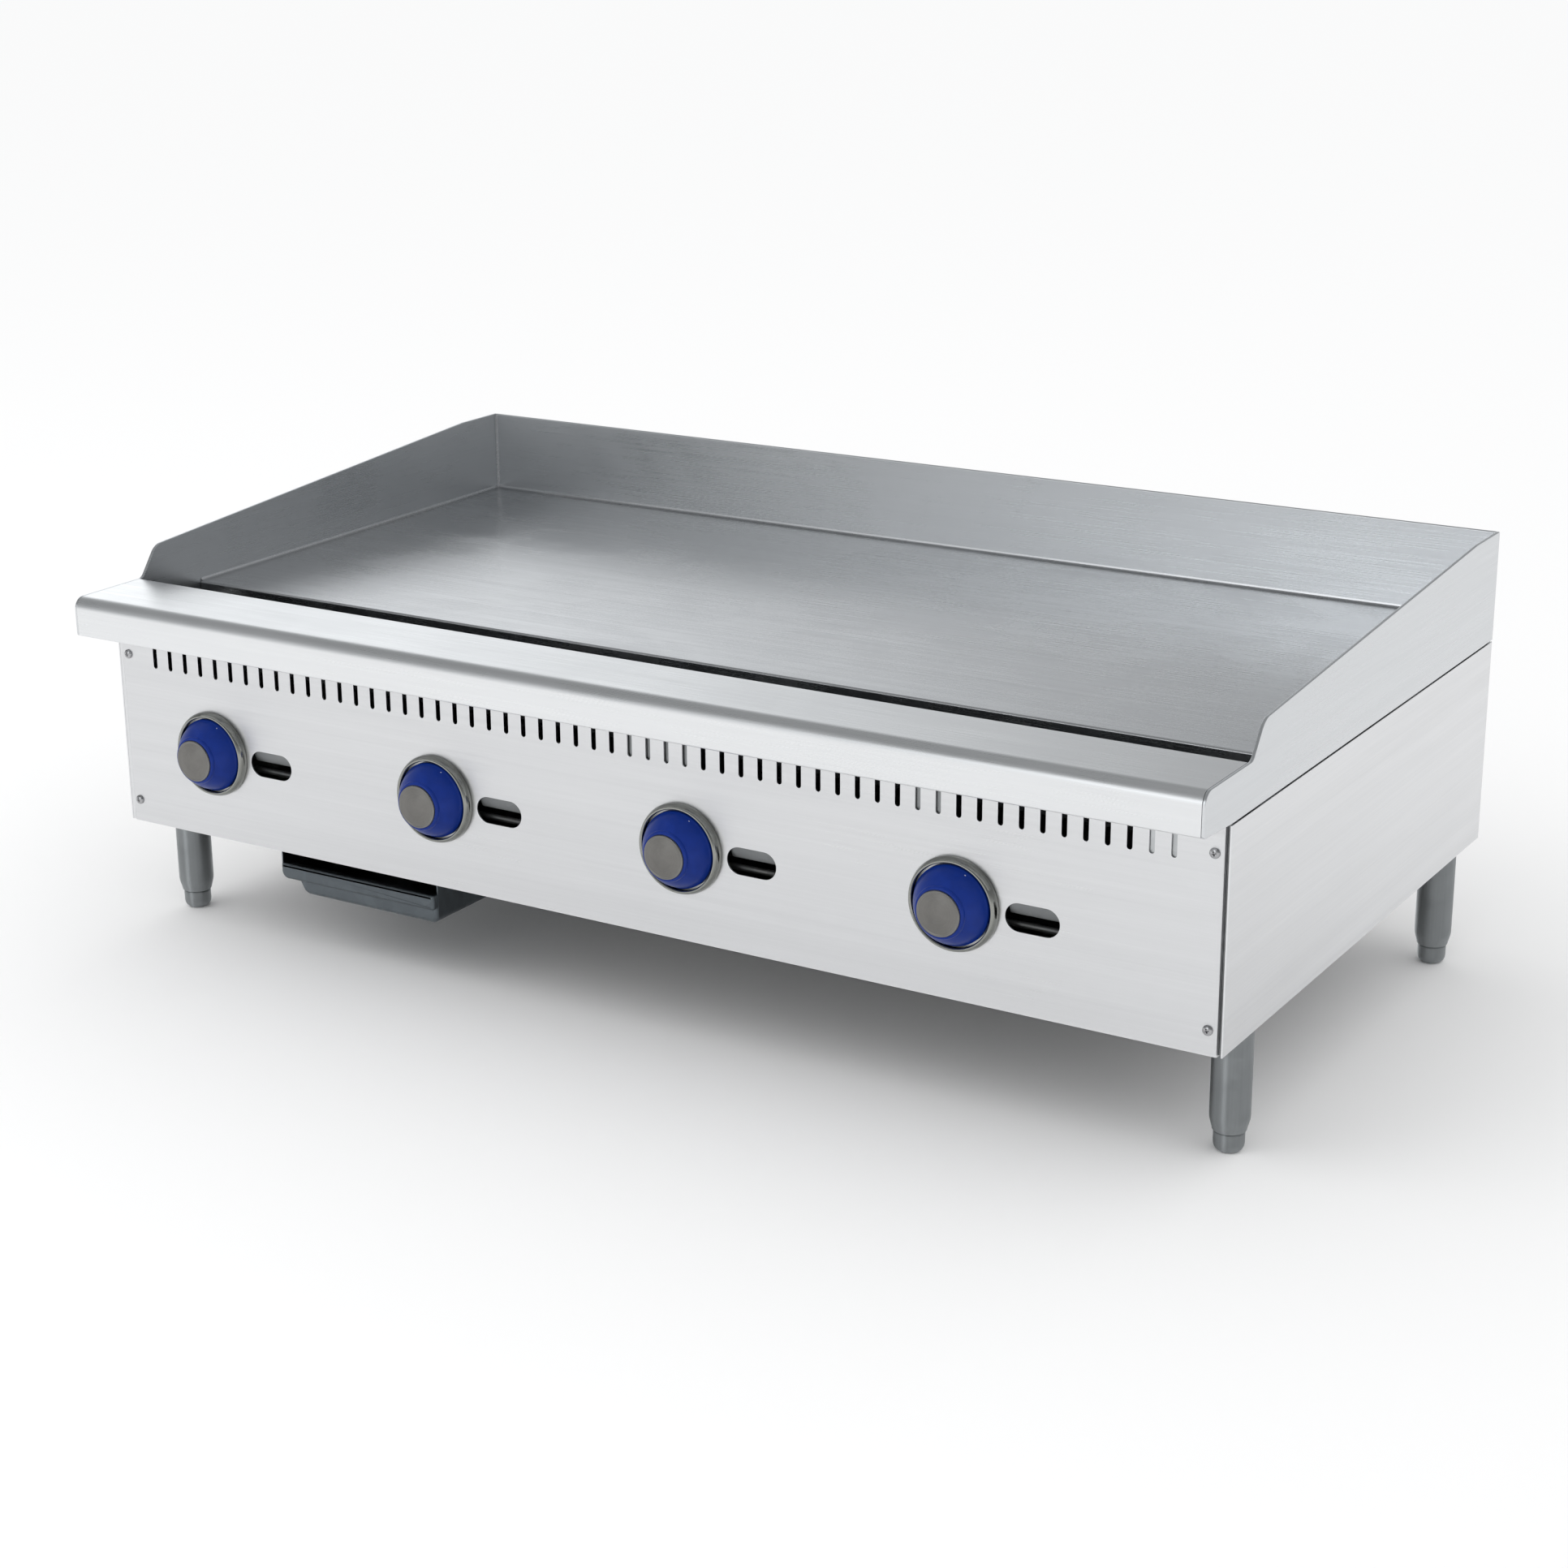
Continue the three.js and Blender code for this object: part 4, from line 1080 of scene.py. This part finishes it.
# ------------------------------------------------------------------ knobs
def knobs():
    """Bezel ring, tapered knob, domed disc and a white dot that is a painted highlight, four
    times.
    """
    bezel_r, knob_r, front_r = 43.5, 37.0, 23.5
    front = 1.2 + 28.0         # knob front, ahead of the panel
    bore = knob_r + 1.6
    # profiles are (radius, distance ahead of the panel)
    bezel = [
        (bore, 0.35), (bezel_r - 0.2, 0.35), (bezel_r, 0.9), (bezel_r, 3.4),
        (bezel_r - 0.35, 4.4), (bezel_r - 1.2, 6.4), (bezel_r - 2.0, 7.8),
        (bezel_r - 2.9, 8.5), (bezel_r - 3.9, 8.6), (bore + 1.3, 8.1), (bore + 0.4, 7.5),
        (bore, 6.6)]

    # the taper bulges outwards by a sine
    taper_r0, taper_r1, taper_start = knob_r - 1.3, front_r + 0.9, 8.6
    taper = [(taper_r0, taper_start)]
    for i in range(1, 13):
        part = i / 12
        radius = taper_r0 + (taper_r1 - taper_r0) * part + 1.5 * math.sin(math.pi * part)
        taper.append((radius, taper_start + (front - 3.2 - taper_start) * part))
    knob = [
        (0, 26), (4.4, 26), (4.4, 1.3), (knob_r - 0.6, 1.3), (knob_r, 1.9), (knob_r, 6.2),
        (knob_r - 0.25, 7.2), (knob_r - 0.8, 8.1), *taper, (front_r + 0.75, front - 2.2),
        (front_r + 0.35, front - 1.2), (front_r - 0.4, front - 0.35),
        (front_r - 1.2, front - 0.02), (front_r - 1.9, front), (front_r - 2.15, front - 0.35),
        (0, front - 0.35)]

    disc_r = front_r - 2.4
    disc = [
        (0, front - 0.1), (disc_r, front - 0.1), (disc_r, front + 0.9),
        (disc_r - 0.25, front + 1.4), (disc_r - 0.8, front + 1.7),
        (disc_r - 1.5, front + 1.65), (disc_r - 2.0, front + 1.35),
        (disc_r - 2.6, front + 1.3), (disc_r * 0.75, front + 1.9),
        (disc_r * 0.5, front + 2.6), (disc_r * 0.25, front + 3.05), (0, front + 3.2)]

    # painted highlight: a white dot up and to the right of the middle, where the knob's rim
    # catches the light
    dot = [(0, -1.2), (1.5, -1.2), (1.5, 0.2), (1.3, 0.55), (0.8, 0.8), (0, 0.9)]
    dot_angle, dot_place_r, dot_ahead = math.radians(64), knob_r - 3.2, 9.9
    dot_x, dot_z = dot_place_r * math.cos(dot_angle), dot_place_r * math.sin(dot_angle)

    for i, x in enumerate(KNOB_X, start=1):
        at = (x, Y_PANEL, KNOB_Z)
        body = f"control_{i}"
        piece(f"bezel_ring_{i}", lathe(bezel, 96, "y"), "bezel", "bezel",
              replaces=f"bezel_{i}", at=at)
        piece(f"control_knob_{i}", lathe(knob, 96, "y"), "blue", "knob_blue", body=body,
              replaces=f"knob_{i}", at=at)
        piece(f"knob_disc_{i}", lathe(disc, 96, "y"), "cap", "knob_cap", body=body,
              replaces=f"knob_cap_{i}", at=at, sharp=40)
        piece(f"knob_painted_highlight_{i}", shift(lathe(dot, 24, "y"), dot_x, -dot_ahead, dot_z), "dot",
              "knob_blue", body=body, at=at)


# ------------------------------------------------------------------ drip tray
def drip_tray():
    """Deep channel along y, with a pressed front and a smaller pressed lip on it."""
    rim = box_mm("drip_tray")[1][2]
    left, right, bottom = -426.0, -227.0, 65.0
    front, rear, wall = -287.0, 150.0, 1.2
    # (x, z, radius) across the tray: a shallow shelf at the left, then the deep part
    corners = [(left, rim, 0), (left, 79.5, 12), (left + 24, 77.5, 3.5),
               (left + 30, bottom, 26), (right, bottom, 7), (right, rim, 0)]
    bend = fillet(corners)[1:-1]
    flange_z = rim - 0.6
    line = ([(left - 7, flange_z), (left, flange_z)] + bend
            + [(right, flange_z), (right + 7, flange_z)])
    channel = prism(sheet(line, wall), front, rear, "y")

    # end walls stand just inside the channel
    end_x0, end_x1 = left + 0.6, right - 0.6

    def end_wall(points, top):
        inner = [(max(x, end_x0), z + 0.3) for x, z in points]
        return [(end_x0, top)] + inner + [(end_x1, top)]

    front_wall = end_wall([p for p in bend if p[1] < 93], 93.5)
    rear_wall = end_wall(bend, rim - 1)
    # the tray material's dark base colour holds painted shade from under the body
    tray = dict(material="tray", slot="galvanised", body="drip_tray")
    piece("drip_tray_front", pressed(front_wall, front - 3.2, front + wall, 4.2),
          sharp=50, **tray)
    piece("drip_tray_pan", [channel, prism(rear_wall, rear - wall, rear - 0.1, "y")],
          replaces="drip_tray", sharp=35, **tray)
    lip = fillet([(left + 4.5, 95.2, 1.6), (left + 4.5, 79.0, 13.5),
                  (right - 0.4, 79.6, 3.0), (right - 0.4, 95.2, 1.6)])
    piece("drip_tray_lip", pressed(lip, front - 7.6, front + 0.4, 3.4), sharp=50, **tray)


# ------------------------------------------------------------------ legs and feet
def legs():
    """Tubes under the body, each with a turned foot that has a stem up into it."""
    top = Z_BODY - 0.4
    # (radius, z)
    tube = [
        (0, 70), (6.4, 70), (6.4, 19.4), (14.2, 19.2), (14.9, 19.4), (15.2, 20.0),
        (15.45, 21.5), (16.1, 24.0), (16.9, 26.8), (17.5, 29.2), (17.85, 31.4), (18.0, 34),
        (18.0, top - 1.2), (17.65, top - 0.35), (16.8, top), (5.5, top), (5.5, top + 14),
        (0, top + 14)]
    foot = [
        (0, 0), (7.6, 0), (9.2, 0.2), (10.9, 1.1), (12.4, 2.7), (13.4, 4.9), (13.8, 7.5),
        (13.9, 16.4), (13.75, 17.5), (13.3, 18.2), (12.5, 18.6), (5.9, 18.6), (5.9, 66),
        (0, 66)]
    for place in ("front_left", "rear_left", "front_right", "rear_right"):
        leg = "leg_" + place
        at = (centre_mm(leg, 0), centre_mm(leg, 1), 0)
        piece(f"leg_tube_{place}", lathe(tube), "leg", "leg_steel", replaces=leg, at=at)
        piece(f"foot_insert_{place}", lathe(foot), "leg", "leg_steel",
              replaces="foot_" + place, body="levelling_foot_" + place, at=at)


knobs()
drip_tray()
legs()

# ------------------------------------------------------------------ studio, in metres
scene = bpy.context.scene
scene.view_settings.view_transform = "Standard"
scene.view_settings.look = "None"
PALE = (0.955, 0.957, 0.959, 1)

# an even grey room that pales towards the floor: height in degrees, brightness
ROOM = [(-90, 0.86), (0, 0.84), (9, 0.52), (22, 0.33), (55, 0.30), (90, 0.45)]
# soft boxes: direction round the object in degrees (0 is the front, 90 its right),
# height, half width, half height, soft edge, brightness
BOXES = [
    (-14, 17, 10, 9, 22, 2.80),
    (-130, 17, 16, 12, 42, 1.60),
]
ROOM_TINT = (0.965, 0.985, 1.0)


def studio_world():
    world = bpy.data.worlds.new("studio")
    scene.world = world
    nodes = Nodes(world)
    view = nodes.node("ShaderNodeSeparateXYZ")
    nodes.link(nodes.node("ShaderNodeTexCoord").outputs["Generated"], view.inputs[0])
    degrees = 180 / math.pi
    round_angle = nodes.math("ARCTAN2", view.outputs[0], nodes.mul(view.outputs[1], -1.0))
    azimuth = nodes.mul(round_angle, degrees)
    height = nodes.mul(nodes.math("ARCSINE", view.outputs[2]), degrees)

    ramp = nodes.node("ShaderNodeValToRGB")
    stops = ramp.color_ramp.elements
    while len(stops) < len(ROOM):
        stops.new(0.5)
    for stop, (angle, _) in zip(stops, ROOM):
        stop.position = (angle + 90) / 180
    for stop, (_, level) in zip(stops, ROOM):
        stop.color = (level, level, level, 1)
    nodes.link(nodes.add(nodes.math("DIVIDE", height, 180.0), 0.5), ramp.inputs[0])

    def soft(offset, half, edge):
        """1 within half of the middle, with a soft edge."""
        return nodes.span(nodes.math("ABSOLUTE", offset),
                          over=(half - edge / 2, half + edge / 2), to=(1.0, 0.0),
                          interpolation_type="SMOOTHSTEP")

    bright = ramp.outputs[0]
    for box_azimuth, box_height, half_w, half_h, edge, level in BOXES:
        aside = nodes.math("SUBTRACT", azimuth, float(box_azimuth))
        aside = nodes.math("WRAP", aside, 180.0, -180.0)
        above = nodes.math("SUBTRACT", height, float(box_height))
        lit = nodes.mul(soft(aside, half_w, edge), soft(above, half_h, edge))
        bright = nodes.add(bright, nodes.mul(lit, level))
    room = nodes.node("ShaderNodeCombineColor")
    for socket, tint in zip(room.inputs, ROOM_TINT):
        nodes.link(nodes.mul(bright, tint), socket)

    # plain white for diffuse light, plain pale grey for the camera
    rays = nodes.node("ShaderNodeLightPath").outputs
    colour = nodes.mix(rays["Is Diffuse Ray"], room.outputs[0], (1.0, 1.0, 1.0, 1))
    colour = nodes.mix(rays["Is Camera Ray"], colour, PALE)
    background = nodes.node("ShaderNodeBackground")
    nodes.link(colour, background.inputs[0])
    nodes.link(background.outputs[0], nodes.node("ShaderNodeOutputWorld").inputs[0])
    # only there when the Cycles add-on is on
    if hasattr(world, "cycles"):
        world.cycles.sampling_method = "NONE"


def pale_floor():
    bm = bmesh.new()
    bmesh.ops.create_circle(bm, cap_ends=True, segments=96, radius=60)
    mesh = bpy.data.meshes.new("floor")
    bm.to_mesh(mesh)
    bm.free()
    floor = link_object("floor", mesh)
    floor.location = (0, 0, -0.0002)  # just under the feet
    material = bpy.data.materials.new("floor_pale")
    nodes = Nodes(material)
    output = nodes.node("ShaderNodeOutputMaterial")
    diffuse = nodes.node("ShaderNodeBsdfDiffuse")
    diffuse.inputs[0].default_value = PALE
    nodes.link(diffuse.outputs[0], output.inputs[0])
    mesh.materials.append(material)


def key_light():
    """Soft square light, high at the front left."""
    light = bpy.data.lights.new("key", "AREA")
    light.shape, light.size, light.size_y, light.energy = "RECTANGLE", 2.4, 2.4, 22
    key = link_object("key", light)
    place, target = Vector((-1.6, -2.4, 3.2)), Vector((0, 0, 0.2))
    key.location = place
    key.rotation_euler = (target - place).to_track_quat("-Z", "Y").to_euler()
    key.visible_camera = False
    key.visible_glossy = False


def add_camera():
    """Camera at the front right, looking down at the griddle."""
    place = (1.469058, -2.390318, 1.091886)
    yaw, pitch, roll = (math.radians(a) for a in (31.652, -18.278, -0.439))
    view = Vector((-math.sin(yaw) * math.cos(pitch), math.cos(yaw) * math.cos(pitch),
                   math.sin(pitch)))
    level = Vector((math.cos(yaw), math.sin(yaw), 0))
    upright = level.cross(view)
    right = level * math.cos(roll) + upright * math.sin(roll)
    up = upright * math.cos(roll) - level * math.sin(roll)
    data = bpy.data.cameras.new("camera")
    data.sensor_width, data.lens = 36.0, 66.9477205
    data.clip_start, data.clip_end = 0.05, 200
    camera = link_object("camera", data)
    rows = [(right[i], up[i], -view[i], place[i]) for i in range(3)]
    camera.matrix_world = Matrix((*rows, (0, 0, 0, 1)))
    scene.camera = camera


studio_world()
pale_floor()
key_light()
add_camera()
